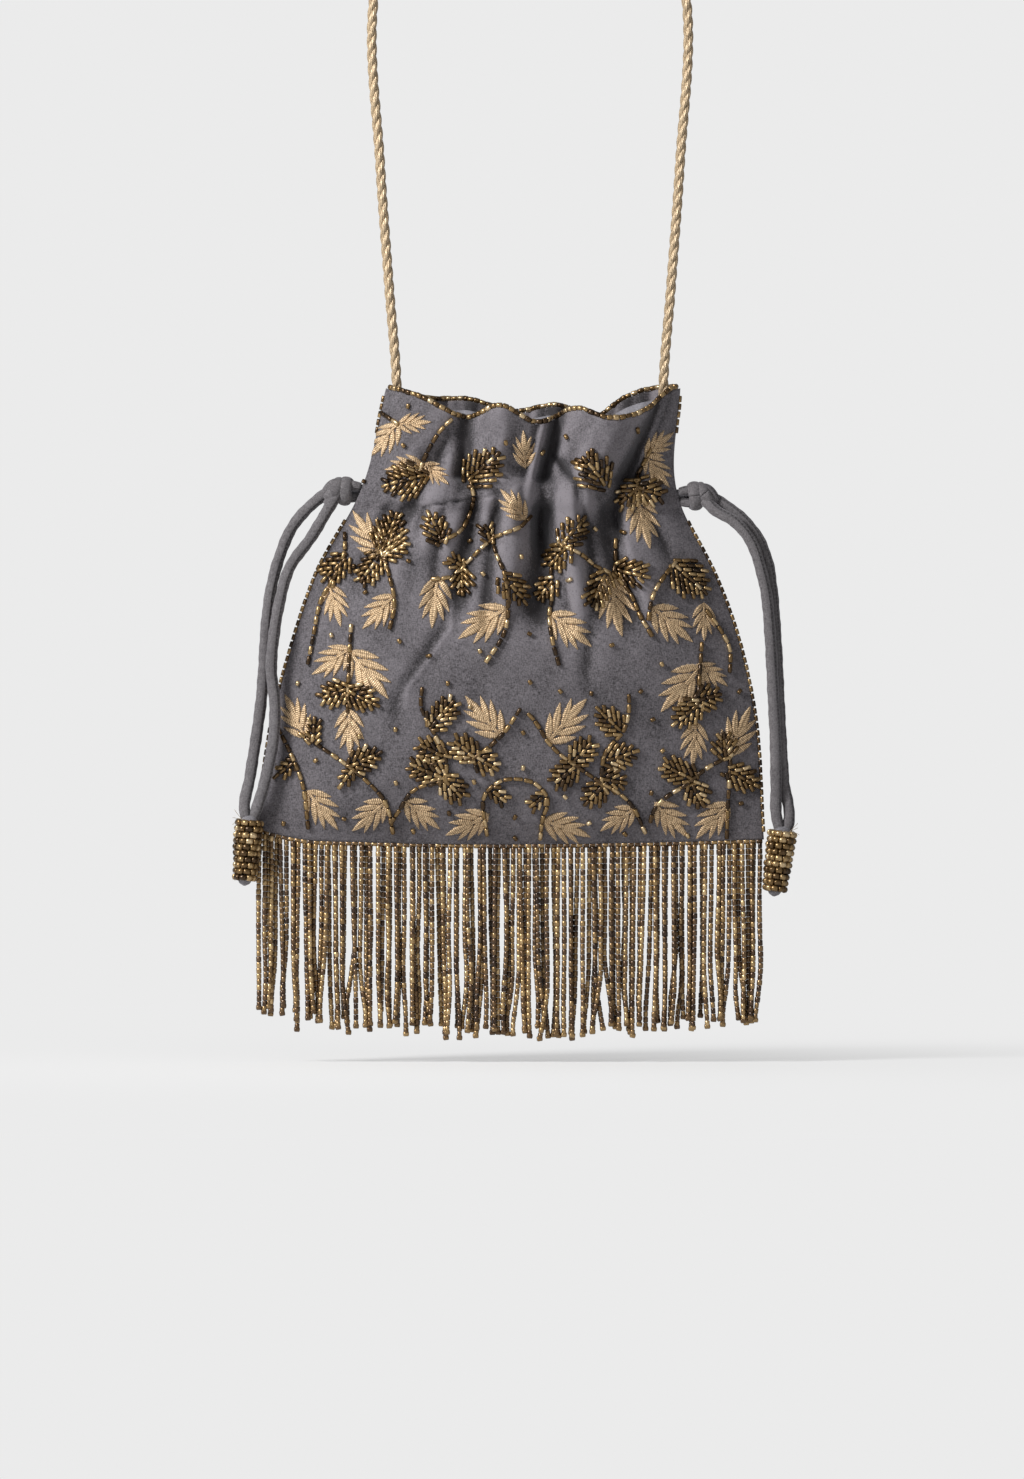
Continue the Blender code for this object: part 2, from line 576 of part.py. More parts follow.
def make_fringe():
    """The fringe: a header of base beads under the seam, with its bottom drawn down strand by strand."""
    cells = 2 * FRINGE_STRANDS - 1
    across = np.linspace(-FRINGE_SPAN, FRINGE_SPAN, cells + 1)
    top = panel_point(across, 0.0, -1)[:, [0, 2]]
    top[:, 1] -= CLEARANCE
    half = BEAD / 2
    points = []
    for x, z in top:
        points += [(x, -half, z), (x, half, z), (x, half, z - FRINGE_HEADER), (x, -half, z - FRINGE_HEADER)]
    faces = [(0, 1, 2, 3), tuple(4 * cells + corner for corner in (3, 2, 1, 0))]
    for cell in range(cells):
        a = 4 * cell
        for edge in range(4):
            other = (edge + 1) % 4
            strand_root = edge == 2 and cell % 2 == 0
            if not strand_root:
                faces.append((a + edge, a + 4 + edge, a + 4 + other, a + other))
    chance = np.random.default_rng(7)
    for cell in range(0, cells, 2):
        a = 4 * cell
        root = [a + 3, a + 2, a + 6, a + 7]
        corners = np.array([points[spot] for spot in root])
        length = FRINGE_LENGTH * (1 + FRINGE_UNEVENNESS * chance.standard_normal())
        sway = chance.normal(0, FRINGE_SWAY, (2, 2))
        previous = root
        for step, (drop, shift) in enumerate(((0.55, sway[0]), (1.0, sway[0] + sway[1]))):
            centre = corners.mean(axis=0)
            ring = centre + (corners - centre) * (1.0, 0.9, 1.0)
            ring = ring + (shift[0] * (step + 1), shift[1], 0)
            ring[:, 2] = corners[:, 2] - length * drop
            start = len(points)
            points += [tuple(corner) for corner in ring]
            new = list(range(start, start + 4))
            for edge in range(4):
                other = (edge + 1) % 4
                faces.append((previous[edge], previous[other], new[other], new[edge]))
            previous = new
        faces.append(tuple(previous))
    return add_mesh("fringe", points, faces, "fringe_beads")


def chart_place(spot):
    """A chart step's place across and up, in the pouch's frame."""
    across, up = spot
    return np.array([(across - CHART_MIDDLE) * CHART_STEP, BASE_Z + (CHART_BASE - up) * CHART_STEP])


def leaf_outline(base, tip, lobes, fullness):
    """A leaf's outline from base to tip: pointed lobes on both sides of its middle vein."""
    base, tip = chart_place(base), chart_place(tip)
    along = tip - base
    side = np.array([-along[1], along[0]])
    left = [(0.0, 0.0)] + [(reach, spread * fullness) for reach, spread in lobes]
    right = [(reach, -spread) for reach, spread in reversed(left[1:])]
    return [base + along * reach + side * spread for reach, spread in left + [(1.0, 0.0)] + right]


class Cloth:
    """The front panel's outer face, on which the embroidery is laid."""

    def __init__(self, panel):
        mesh = panel.data
        self.tree = BVHTree.FromPolygons([v.co for v in mesh.vertices], [list(p.vertices) for p in mesh.polygons])

    def face(self, place):
        """The depth of the cloth's face at a place across and up, or at the nearest place on it."""
        x, z = place
        for _ in range(60):
            hit = self.tree.ray_cast(Vector((x, -1, z)), Vector((0, 1, 0)))[0]
            if hit:
                return x, hit.y, z
            x -= math.copysign(0.0005, x)
            z += math.copysign(0.0002, BASE_Z + BAG_HEIGHT / 2 - z)
        return x, 0.0, z

    def lay(self, places, links, low, high):
        """Points at two levels over the cloth, lifted at both ends of a link whose middle would dip into the cloth."""
        seats = [self.face(place) for place in places]
        lift = [0.0] * len(seats)
        for a, b in links:
            between = [Vector(seats[a]).lerp(Vector(seats[b]), part) for part in (0.25, 0.5, 0.75)]
            dip = max(spot.y - self.face((spot.x, spot.z))[1] for spot in between)
            lift[a] = max(lift[a], dip)
            lift[b] = max(lift[b], dip)
        bottom = [(x, y - low - rise, z) for (x, y, z), rise in zip(seats, lift)]
        top = [(x, y - high - rise, z) for (x, y, z), rise in zip(seats, lift)]
        return bottom, top


def leaf_solid(cloth, base, tip, lobes, fullness, high, layer):
    """A raised leaf: its outline at two levels, with a fan of faces from its middle."""
    outline = leaf_outline(base, tip, lobes, fullness)
    rise = layer * LAYER_STEP
    centre = sum(outline) / len(outline)
    places = list(outline) + [centre]
    count = len(outline)
    links = [(spot, (spot + 1) % count) for spot in range(count)] + [(spot, count) for spot in range(count)]
    bottom, top = cloth.lay(places, links, SPRAY_GAP + rise, high + rise)
    faces = []
    for spot in range(count):
        other = (spot + 1) % count
        faces += [(spot, other, count), (other + count + 1, spot + count + 1, 2 * count + 1)]
        faces += [(spot, spot + count + 1, other + count + 1), (spot, other + count + 1, other)]
    return bottom + top, faces


def stem_solid(cloth, route, layer):
    """A bead stem: a narrow raised band along its route."""
    rise = layer * LAYER_STEP
    places = resample([(*chart_place(spot), 0) for spot in route], STEM_SPACING)[:, :2]
    forward = np.gradient(places, axis=0)
    forward /= np.linalg.norm(forward, axis=1)[:, None]
    side = np.stack([-forward[:, 1], forward[:, 0]], axis=1) * STEM_WIDTH / 2
    both = np.concatenate([places + side, places - side])
    count = len(places)
    links = [(spot, spot + 1) for spot in range(count - 1)]
    links += [(spot + count, spot + count + 1) for spot in range(count - 1)]
    bottom, top = cloth.lay(both, links, SPRAY_GAP + rise, STEM_BEAD_HEIGHT + rise)
    shift = 2 * count
    faces = [(0, count, count + shift, shift),
             (2 * count - 1, count - 1, count - 1 + shift, 2 * count - 1 + shift)]
    for spot in range(count - 1):
        a, b, c, d = spot, spot + 1, spot + 1 + count, spot + count
        faces += [(a, b, c, d), (a + shift, d + shift, c + shift, b + shift)]
        faces += [(a, a + shift, b + shift, b), (c, c + shift, d + shift, d)]
    return bottom + top, faces


def make_spray(name, parts, cloth):
    """One spray of the embroidery: its stems and leaves, united where they meet."""
    shapes = [stem_solid(cloth, route, layer) for layer, route in enumerate(parts["stems"])]
    for base, tip in parts["beaded"]:
        shapes.append(leaf_solid(cloth, base, tip, BEADED_LOBES, BEADED_FULLNESS, LEAF_BEAD_HEIGHT, len(shapes)))
    for base, tip in parts["stitched"]:
        shapes.append(leaf_solid(cloth, base, tip, STITCHED_LOBES, STITCHED_FULLNESS, STITCH_HEIGHT, len(shapes)))
    body = add_mesh(name, *shapes[0], "bronze_beads")
    for spot, shape in enumerate(shapes[1:]):
        cutter = add_mesh(f"{name}_piece_{spot}", *shape, "bronze_beads")
        cutter.hide_render = True
        cutter.display_type = "WIRE"
        unite = body.modifiers.new(f"piece {spot}", "BOOLEAN")
        unite.operation = "UNION"
        unite.solver = "EXACT"
        unite.object = cutter
    return body


def strap_route():
    """The strap's line: up from its left tuck, over the loop at the origin and down to its right tuck."""
    foot = BASE_Z + BAG_HEIGHT
    spring = -STRAP_ARCH
    inside = 0.0
    flare = STRAP_HALF_SPAN - STRAP_FOOT
    rise = spring - foot
    left = [(-STRAP_FOOT, inside, foot - STRAP_TUCK), (-STRAP_FOOT, inside, foot)]
    left += [(-STRAP_FOOT - flare * spread, inside, foot + rise * share) for share, spread in STRAP_BOW]
    left += [(-STRAP_HALF_SPAN, inside, spring)]
    arch = [(-STRAP_HALF_SPAN * math.cos(angle), inside, spring + STRAP_ARCH * math.sin(angle))
            for angle in np.radians(np.arange(18, 163, 18))]
    right = [(-x, y, z) for x, y, z in reversed(left)]
    return left + arch + right


def make_strap():
    """The rope strap and the two tabs that hold its ends inside the mouth."""
    points = resample(strap_route(), 2.4 * STRAP_DIAMETER)
    add_tube("strap", points, STRAP_DIAMETER / 2, "gold_rope", resolution=2)
    foot = BASE_Z + BAG_HEIGHT - STRAP_TUCK
    for name, side in (("left_strap_tab", -1), ("right_strap_tab", 1)):
        end = side * STRAP_FOOT
        inner = STRAP_DIAMETER / 2 + CLEARANCE
        outer = inner + TAB_THICKNESS
        hoop = []
        for radius, order in ((outer, range(10)), (inner, reversed(range(10)))):
            hoop += [(end + radius * math.cos(math.radians(36 * spot)), radius * math.sin(math.radians(36 * spot)))
                     for spot in order]
        levels = (foot + TAB_START, foot + TAB_START + TAB_HEIGHT)
        rings = [[(x, y, z) for x, y in hoop] for z in levels]
        points = rings[0] + rings[1]
        faces = []
        for spot in range(10):
            other = (spot + 1) % 10
            in_a, in_b = 19 - spot, 19 - other
            faces += [(spot, other, other + 20, spot + 20), (in_a, in_b, in_b + 20, in_a + 20)]
            faces += [(spot, other, in_b, in_a), (spot + 20, other + 20, in_b + 20, in_a + 20)]
        add_mesh(name, points, faces, "lining")


def ring_mesh(centre, axis, radius, tube, around=12, section=8):
    """A torus of cord round an axis."""
    axis = Vector(axis).normalized()
    across = axis.orthogonal().normalized()
    up = axis.cross(across)
    points = []
    for turn in range(around):
        angle = 2 * math.pi * turn / around
        out = across * math.cos(angle) + up * math.sin(angle)
        for step in range(section):
            bend = 2 * math.pi * step / section
            points.append(Vector(centre) + out * (radius + tube * math.cos(bend)) + axis * tube * math.sin(bend))
    faces = []
    for turn in range(around):
        for step in range(section):
            a, b = turn * section + step, turn * section + (step + 1) % section
            c, d = ((turn + 1) % around) * section + (step + 1) % section, ((turn + 1) % around) * section + step
            faces.append((a, b, c, d))
    return points, faces


def make_knot(name, side, parent):
    """The overhand knot that stops a drawstring: two crossed turns of the doubled cord round its core."""
    centre = parent.location
    tube = STRING_DIAMETER / 2
    form = bmesh.new()
    shapes = []
    for place, rise, turn_y, turn_z in KNOT_TURNS:
        middle = centre + Vector((side * place, 0, rise))
        shapes.append(ring_mesh(middle, (1.0, turn_y, side * turn_z), KNOT_RING, tube))
    for points, faces in shapes:
        spots = [form.verts.new(point) for point in points]
        for face in faces:
            form.faces.new([spots[spot] for spot in face])
    core = bmesh.ops.create_icosphere(form, subdivisions=2, radius=1.0)["verts"]
    for spot in core:
        spot.co = centre + Vector((spot.co.x * KNOT_LENGTH / 2, spot.co.y * KNOT_CORE, spot.co.z * KNOT_CORE))
    mesh = bpy.data.meshes.new(name)
    bmesh.ops.recalc_face_normals(form, faces=form.faces)
    bmesh.ops.translate(form, verts=form.verts, vec=-centre)
    form.to_mesh(mesh)
    form.free()
    mesh.materials.append(finish("tube_cloth"))
    item = bpy.data.objects.new(name, mesh)
    bpy.context.collection.objects.link(item)
    item.parent = parent
    one_skin = item.modifiers.new("one skin", "REMESH")
    one_skin.mode = "VOXEL"
    one_skin.voxel_size = KNOT_VOXEL
    fewer = item.modifiers.new("fewer faces", "DECIMATE")
    fewer.ratio = KNOT_FACES_KEPT
    return item


def turned(name, profile, start, end, parent, finish_name, sides=9):
    """A turned piece: a closed profile of (radius, place along) pairs spun round the line from start to end."""
    start, end = Vector(start), Vector(end)
    axis = (end - start).normalized()
    across = axis.orthogonal().normalized()
    up = axis.cross(across)
    points, faces, rings = [], [], []
    for radius, along in profile:
        if radius == 0:
            rings.append([len(points)])
            points.append(start + axis * along)
            continue
        ring = []
        for step in range(sides):
            angle = 2 * math.pi * step / sides
            ring.append(len(points))
            points.append(start + axis * along + (across * math.cos(angle) + up * math.sin(angle)) * radius)
        rings.append(ring)
    closed = profile[0][0] > 0
    pairs = list(zip(rings, rings[1:])) + ([(rings[-1], rings[0])] if closed else [])
    for low, high in pairs:
        for step in range(sides):
            other = (step + 1) % sides
            a, b = low[step % len(low)], low[other % len(low)]
            c, d = high[other % len(high)], high[step % len(high)]
            corners = [spot for place, spot in enumerate((a, b, c, d)) if spot not in (a, b, c, d)[:place]]
            faces.append(tuple(corners))
    return add_mesh(name, points, faces, finish_name, parent)


def make_pull(side_name, parent, top, sway):
    """A beaded pull: rows of beads round a padded core of cloth that shows at both ends, hanging a little askew."""
    length = PULL_LENGTH
    top = parent.location + Vector(top)
    end = top + Vector((sway, 0, -math.sqrt(length ** 2 - sway ** 2)))
    row = (length - 2 * PULL_CAP) / PULL_ROWS
    bore = PULL_RADIUS - PULL_WALL
    end_bore = PULL_END_RADIUS - PULL_WALL

    def radius_at(along):
        """The beaded sleeve's radius along the pull: full at the top, narrower at the end."""
        share = along / length
        return PULL_RADIUS + (PULL_END_RADIUS - PULL_RADIUS) * share ** 2

    outside = []
    for step in range(PULL_ROWS):
        low = PULL_CAP + row * step
        outside += [(radius_at(low) - BEAD_VALLEY, low), (radius_at(low + row / 2), low + row / 2)]
    outside.append((radius_at(length) - BEAD_VALLEY, length - PULL_CAP))
    sleeve = outside + [(end_bore, length - PULL_CAP), (bore, PULL_CAP)]
    turned(f"{side_name}_pull_beads", sleeve, top, end, parent, "bronze_beads")
    gap = CLEARANCE + PULL_SLACK
    core = [(0, 0), (bore * 0.72, 0.0004), (bore - gap, PULL_CAP), (end_bore - gap, length - PULL_CAP),
            (end_bore * 0.75, length - 0.0003), (0, length)]
    turned(f"{side_name}_pull_core", core, top, end, parent, "tube_cloth")


def make_drawstring(side_name, side, knot_offset, tails, pull_top, pull_sway):
    """What hangs outside the casing at one side: the knot, its two tails and their pull, on one sliding empty."""
    edge = float(lean(CASING_SHARE) + side * half_width(CASING_SHARE))
    anchor = bpy.data.objects.new(f"{side_name}_drawstring", None)
    standoff, knot_depth, rise = knot_offset
    reach = KNOT_LENGTH / 2 + standoff
    anchor.location = (edge + side * reach, knot_depth, BASE_Z + CASING_HEIGHT + rise)
    bpy.context.collection.objects.link(anchor)
    make_knot(f"{side_name}_knot", side, anchor)
    for name, route in zip(("outer", "inner"), tails):
        placed = [Vector(point) + anchor.location for point in route]
        points = resample(placed, 2.2 * STRING_DIAMETER)
        add_tube(f"{side_name}_{name}_tail", points, STRING_DIAMETER / 2, "tube_cloth", anchor, resolution=2)
    make_pull(side_name, anchor, pull_top, pull_sway)


def main():
    """Build the pouch, layer by layer from the cloth outwards."""
    clear_scene()
    front = make_panel("front_panel", -1)
    make_panel("back_panel", 1)
    make_lining()
    make_casing_cord("left_casing_cord", -1, CASING_CORD_STEP / 2)
    make_casing_cord("right_casing_cord", 1, -CASING_CORD_STEP / 2)
    make_edging()
    make_fringe()
    cloth = Cloth(front)
    for name, parts in SPRAYS.items():
        make_spray(name, parts, cloth)
    make_strap()
    make_drawstring("left", -1, (LEFT_KNOT_STANDOFF, LEFT_KNOT_DEPTH, 0.0), (LEFT_OUTER_TAIL, LEFT_INNER_TAIL),
                    LEFT_PULL_TOP, LEFT_PULL_SWAY)
    make_drawstring("right", 1, (RIGHT_KNOT_STANDOFF, RIGHT_KNOT_DEPTH, -RIGHT_KNOT_DROP),
                    (RIGHT_OUTER_TAIL, RIGHT_INNER_TAIL), RIGHT_PULL_TOP, RIGHT_PULL_SWAY)


main()
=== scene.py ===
"""The looks of a beaded drawstring pouch: gathered cloth, leaf embroidery, bead fringe, cords and a strap."""

import logging
import math
from dataclasses import dataclass, field
from enum import Enum

import bpy
import numpy as np
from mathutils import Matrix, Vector


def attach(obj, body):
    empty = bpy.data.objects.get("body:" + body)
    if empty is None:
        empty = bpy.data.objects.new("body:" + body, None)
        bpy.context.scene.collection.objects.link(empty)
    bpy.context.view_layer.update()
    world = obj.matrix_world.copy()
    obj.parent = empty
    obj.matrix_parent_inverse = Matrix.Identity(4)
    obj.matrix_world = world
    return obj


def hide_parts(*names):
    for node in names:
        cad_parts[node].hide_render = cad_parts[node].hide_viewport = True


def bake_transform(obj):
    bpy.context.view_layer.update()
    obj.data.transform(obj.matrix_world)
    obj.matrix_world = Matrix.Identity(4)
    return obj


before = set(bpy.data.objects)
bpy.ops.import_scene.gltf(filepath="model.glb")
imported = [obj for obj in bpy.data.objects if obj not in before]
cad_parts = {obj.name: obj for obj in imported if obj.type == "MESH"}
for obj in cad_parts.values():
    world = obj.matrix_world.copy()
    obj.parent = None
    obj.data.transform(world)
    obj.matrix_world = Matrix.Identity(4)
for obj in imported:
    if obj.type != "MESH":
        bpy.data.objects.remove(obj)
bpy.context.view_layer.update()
LOG = logging.getLogger("pouch")

Array = np.ndarray
Stations = tuple[tuple[float, float], ...]
Route = tuple[tuple[float, ...], ...]
Colour = tuple[float, float, float]
Piece = bpy.types.Object
Socket = bpy.types.NodeSocket
Materials = dict[str, bpy.types.Material]

# In metres: the base seam's height, the cloth's height, the casing's height over the base, the fullest swell
BASE_Z = -0.4265
TALL = 0.192
CASING = 0.1485
CASING_SHARE = CASING / TALL
FULL_DEPTH = 0.0215
# The embroidery chart: metres to a step, the step under the strap's middle and the step of the base seam
CHART_STEP = 0.00042
CHART_MIDDLE = 530
CHART_BASE = 843

# Each fold: place across and share of the height at its low end, the same at its high end,
# its width at both ends as a share of the half width, how far it pushes the cloth out, and its sharpness
FOLDS = (
    (-0.38, 0.80, -0.45, 1.00, 0.060, 0.075, -0.0066, 1.8),
    (-0.18, 0.80, -0.20, 1.00, 0.090, 0.100, 0.0040, 2.2),
    (0.14, 0.69, 0.16, 1.00, 0.055, 0.062, -0.0092, 1.7),
    (0.45, 0.76, 0.53, 1.00, 0.075, 0.230, 0.0078, 2.6),
    (0.58, 0.73, 0.84, 1.00, 0.055, 0.060, -0.0062, 1.6),
    (0.11, 0.53, 0.13, 0.69, 0.080, 0.070, -0.0062, 1.9),
    (-0.27, 0.56, -0.27, 0.75, 0.060, 0.056, -0.0054, 1.8),
    (0.52, 0.53, 0.50, 0.73, 0.065, 0.060, -0.0058, 1.8),
    (-0.47, 0.68, -0.45, 0.76, 0.120, 0.120, 0.0034, 2.2),
    (-0.04, 0.58, -0.03, 0.76, 0.075, 0.080, 0.0042, 2.2),
    (0.30, 0.55, 0.31, 0.74, 0.075, 0.080, 0.0044, 2.2),
    (0.70, 0.60, 0.69, 0.70, 0.090, 0.090, 0.0015, 2.0),
    (-0.70, 0.70, -0.66, 0.84, 0.060, 0.060, -0.0030, 1.6),
    (-0.50, 0.32, -0.33, 0.48, 0.045, 0.045, -0.0016, 1.6),
    (0.20, 0.88, 0.37, 0.79, 0.030, 0.030, -0.0042, 1.4),
    (0.35, 0.765, 0.36, 0.785, 0.055, 0.055, 0.0042, 2.0),
    (-0.15, 0.765, -0.15, 0.785, 0.055, 0.055, 0.0020, 2.0),
    (0.74, 0.87, 0.58, 0.71, 0.030, 0.030, -0.0040, 1.4),
    (-0.56, 0.740, -0.16, 0.762, 0.040, 0.040, -0.0024, 1.4),
    (-0.62, 0.76, -0.54, 0.94, 0.045, 0.055, -0.0030, 1.5),
    (0.02, 0.74, 0.03, 0.98, 0.030, 0.030, -0.0020, 1.5),
    (0.07, 0.66, 0.08, 0.95, 0.030, 0.030, 0.0016, 1.6),
    (0.70, 0.76, 0.93, 0.98, 0.035, 0.030, -0.0030, 1.5),
    (0.80, 0.66, 0.76, 0.80, 0.040, 0.040, -0.0026, 1.5),
    (-0.80, 0.62, -0.78, 0.78, 0.045, 0.045, -0.0024, 1.5),
    (-0.60, 0.60, -0.60, 0.74, 0.045, 0.040, 0.0013, 1.6),
    (-0.40, 0.56, -0.44, 0.72, 0.040, 0.036, -0.0024, 1.6),
    (0.24, 0.54, 0.21, 0.74, 0.035, 0.030, -0.0026, 1.5),
    (0.38, 0.54, 0.40, 0.73, 0.040, 0.032, -0.0024, 1.6),
    (0.62, 0.52, 0.60, 0.68, 0.045, 0.040, 0.0013, 1.6),
    (-0.14, 0.52, -0.13, 0.73, 0.040, 0.032, -0.0026, 1.6),
    (-0.46, 0.34, -0.30, 0.47, 0.020, 0.020, 0.0013, 1.6),
    (0.30, 0.38, 0.36, 0.54, 0.030, 0.030, -0.0013, 1.6),
)
# Places across, and how far each rim dips there; then the same for how far the base seam rises
FRONT_RIM = ((-1.0, 0.0), (-0.78, 0.0045), (-0.42, 0.0134), (-0.24, 0.0088), (0.02, 0.0158), (0.30, 0.0100),
             (0.50, 0.0142), (0.76, 0.0105), (0.95, 0.0008), (1.0, 0.0))
BACK_RIM = ((-1.0, 0.0), (-0.72, 0.0042), (-0.45, 0.0046), (-0.14, 0.0097), (0.16, 0.0072), (0.46, 0.0113),
            (0.60, 0.0050), (0.80, 0.0004), (1.0, 0.0))
BASE_SAG = ((-1.0, 0.0066), (-0.86, 0.0028), (-0.55, 0.0008), (-0.2, 0.0), (0.5, 0.0006), (1.0, 0.0020))
# Each rumple wave: its ripples across, its ripples up and where it starts
RUMPLES = ((7.1, 3.2, 0.4), (11.3, -5.7, 2.1), (17.9, 8.3, 4.0), (23.0, -13.1, 1.3), (5.2, 9.6, 5.1))


class Side(Enum):
    """The two faces of the pouch, by the sign of their place in depth."""

    FRONT = -1
    BACK = 1


class Hand(Enum):
    """The two ends of the casing, by the sign of their place across."""

    LEFT = -1
    RIGHT = 1


def smooth_curve(stations: Stations, at: Array) -> Array:
    """A smooth curve through stations: cubic pieces whose slopes are the mean slopes beside each station.

    Args:
        stations: (place, value) pairs in rising order of place.
        at: where the curve is read.

    Returns:
        The curve's value at each place.
    """
    places, values = (np.array(column, float) for column in zip(*stations))
    slopes = np.gradient(values, places)
    at = np.clip(np.asarray(at, float), places[0], places[-1])
    piece = np.clip(np.searchsorted(places, at, side="right") - 1, 0, len(places) - 2)
    span = places[piece + 1] - places[piece]
    share = (at - places[piece]) / span
    rise = share * share * (3 - 2 * share)
    lean_in = share * (1 - share) ** 2
    lean_out = share * share * (share - 1)
    return (values[piece] + (values[piece + 1] - values[piece]) * rise
            + span * (slopes[piece] * lean_in + slopes[piece + 1] * lean_out))


def unit(vectors: Array) -> Array:
    """Vectors scaled to length one."""
    return vectors / np.maximum(np.linalg.norm(vectors, axis=-1, keepdims=True), 1e-12)


def along(points: Array) -> Array:
    """The distance from a line's start to each of its points."""
    return np.concatenate([[0], np.cumsum(np.linalg.norm(np.diff(points, axis=0), axis=1))])


def walked(line: Array, values: Array, reach: Array) -> Array:
    """What holds along a line, read at distances from its start.

    Args:
        line: the points of the line.
        values: a row of numbers for each of those points.
        reach: the distances from the start.

    Returns:
        A row of numbers for each distance.
    """
    lengths = along(line)
    return np.stack([np.interp(reach, lengths, column) for column in values.T], axis=-1)


def resample(route: Route | Array, spacing: float) -> Array:
    """Evenly spaced points on one smooth curve through a route's own points.

    Args:
        route: points of two or three numbers each.
        spacing: the distance wanted between neighbours.

    Returns:
        The points, one row each.
    """
    route = np.array(route, float)
    steps = along(route)
    fine = np.linspace(0, steps[-1], 60 * len(route))
    line = np.stack([smooth_curve(tuple(zip(steps, column)), fine) for column in route.T], axis=-1)
    total = along(line)[-1]
    return walked(line, line, np.linspace(0, total, max(3, round(total / spacing) + 1)))


def new_mesh(name: str, points: Array, faces: list[Array], uv: Array | None = None,
             traits: dict[str, Array] | None = None, smooth: bool = True) -> Piece:
    """Puts worked-out points and faces into a mesh object that sits at the origin.

    Args:
        name: the piece's name.
        points: one row of x, y, z for each vertex.
        faces: arrays of corner numbers, all faces of one array with the same count of corners.
        uv: one pair for each face corner, in the faces' order, if the finish follows the surface.
        traits: named numbers for each vertex that the finish reads.
        smooth: whether the faces are shaded smooth.

    Returns:
        The mesh object.
    """
    mesh = bpy.data.meshes.new(name)
    points = np.ascontiguousarray(points, np.float32).reshape(-1, 3)
    corners = np.concatenate([group.ravel() for group in faces]).astype(np.int32)
    sides = np.concatenate([np.full(len(group), group.shape[1]) for group in faces])
    mesh.vertices.add(len(points))
    mesh.vertices.foreach_set("co", points.ravel())
    mesh.loops.add(len(corners))
    mesh.loops.foreach_set("vertex_index", corners)
    mesh.polygons.add(len(sides))
    mesh.polygons.foreach_set("loop_start", np.concatenate([[0], np.cumsum(sides)[:-1]]).astype(np.int32))
    mesh.polygons.foreach_set("use_smooth", np.full(len(sides), smooth))
    if uv is not None:
        layer = mesh.uv_layers.new(name="surface")
        layer.data.foreach_set("uv", np.ascontiguousarray(uv, np.float32).ravel())
    for trait, values in (traits or {}).items():
        layer = mesh.attributes.new(trait, "FLOAT", "POINT")
        layer.data.foreach_set("value", np.ascontiguousarray(values, np.float32).ravel())
    mesh.update(calc_edges=True)
    item = bpy.data.objects.new(name, mesh)
    bpy.context.scene.collection.objects.link(item)
    return item


def grid_faces(rows: int, columns: int, wrap: bool = False, start: int = 0, flip: bool = False) -> Array:
    """Four-sided faces over a grid of points, row after row.

    Args:
        rows: how many rows of points.
        columns: how many points in a row.
        wrap: whether the last point of a row joins the first.
        start: the first point's number.
        flip: whether the faces turn the other way.

    Returns:
        Four corner numbers for each face.
    """
    row, column = np.meshgrid(np.arange(rows - 1), np.arange(columns if wrap else columns - 1), indexing="ij")
    after = (column + 1) % columns
    quads = np.stack([row * columns + column, row * columns + after,
                      (row + 1) * columns + after, (row + 1) * columns + column], axis=-1).reshape(-1, 4)
    return start + (quads[:, ::-1] if flip else quads)


def grid_uv(rows: int, columns: int, wrap: bool, lengths: Array) -> Array:
    """The face corners' places on a grid: the share round or across it, and the distance along it.

    Args:
        rows: how many rows of points.
        columns: how many points in a row.
        wrap: whether the last point of a row joins the first.
        lengths: the distance along for each row.

    Returns:
        A pair for each corner of grid_faces' faces.
    """
    count = columns if wrap else columns - 1
    row, column = np.meshgrid(np.arange(rows - 1), np.arange(count), indexing="ij")
    across = np.stack([column, column + 1, column + 1, column], axis=-1) / count
    lengths = np.asarray(lengths)
    down = np.stack([lengths[row], lengths[row], lengths[row + 1], lengths[row + 1]], axis=-1)
    return np.stack([across, down], axis=-1).reshape(-1, 2)


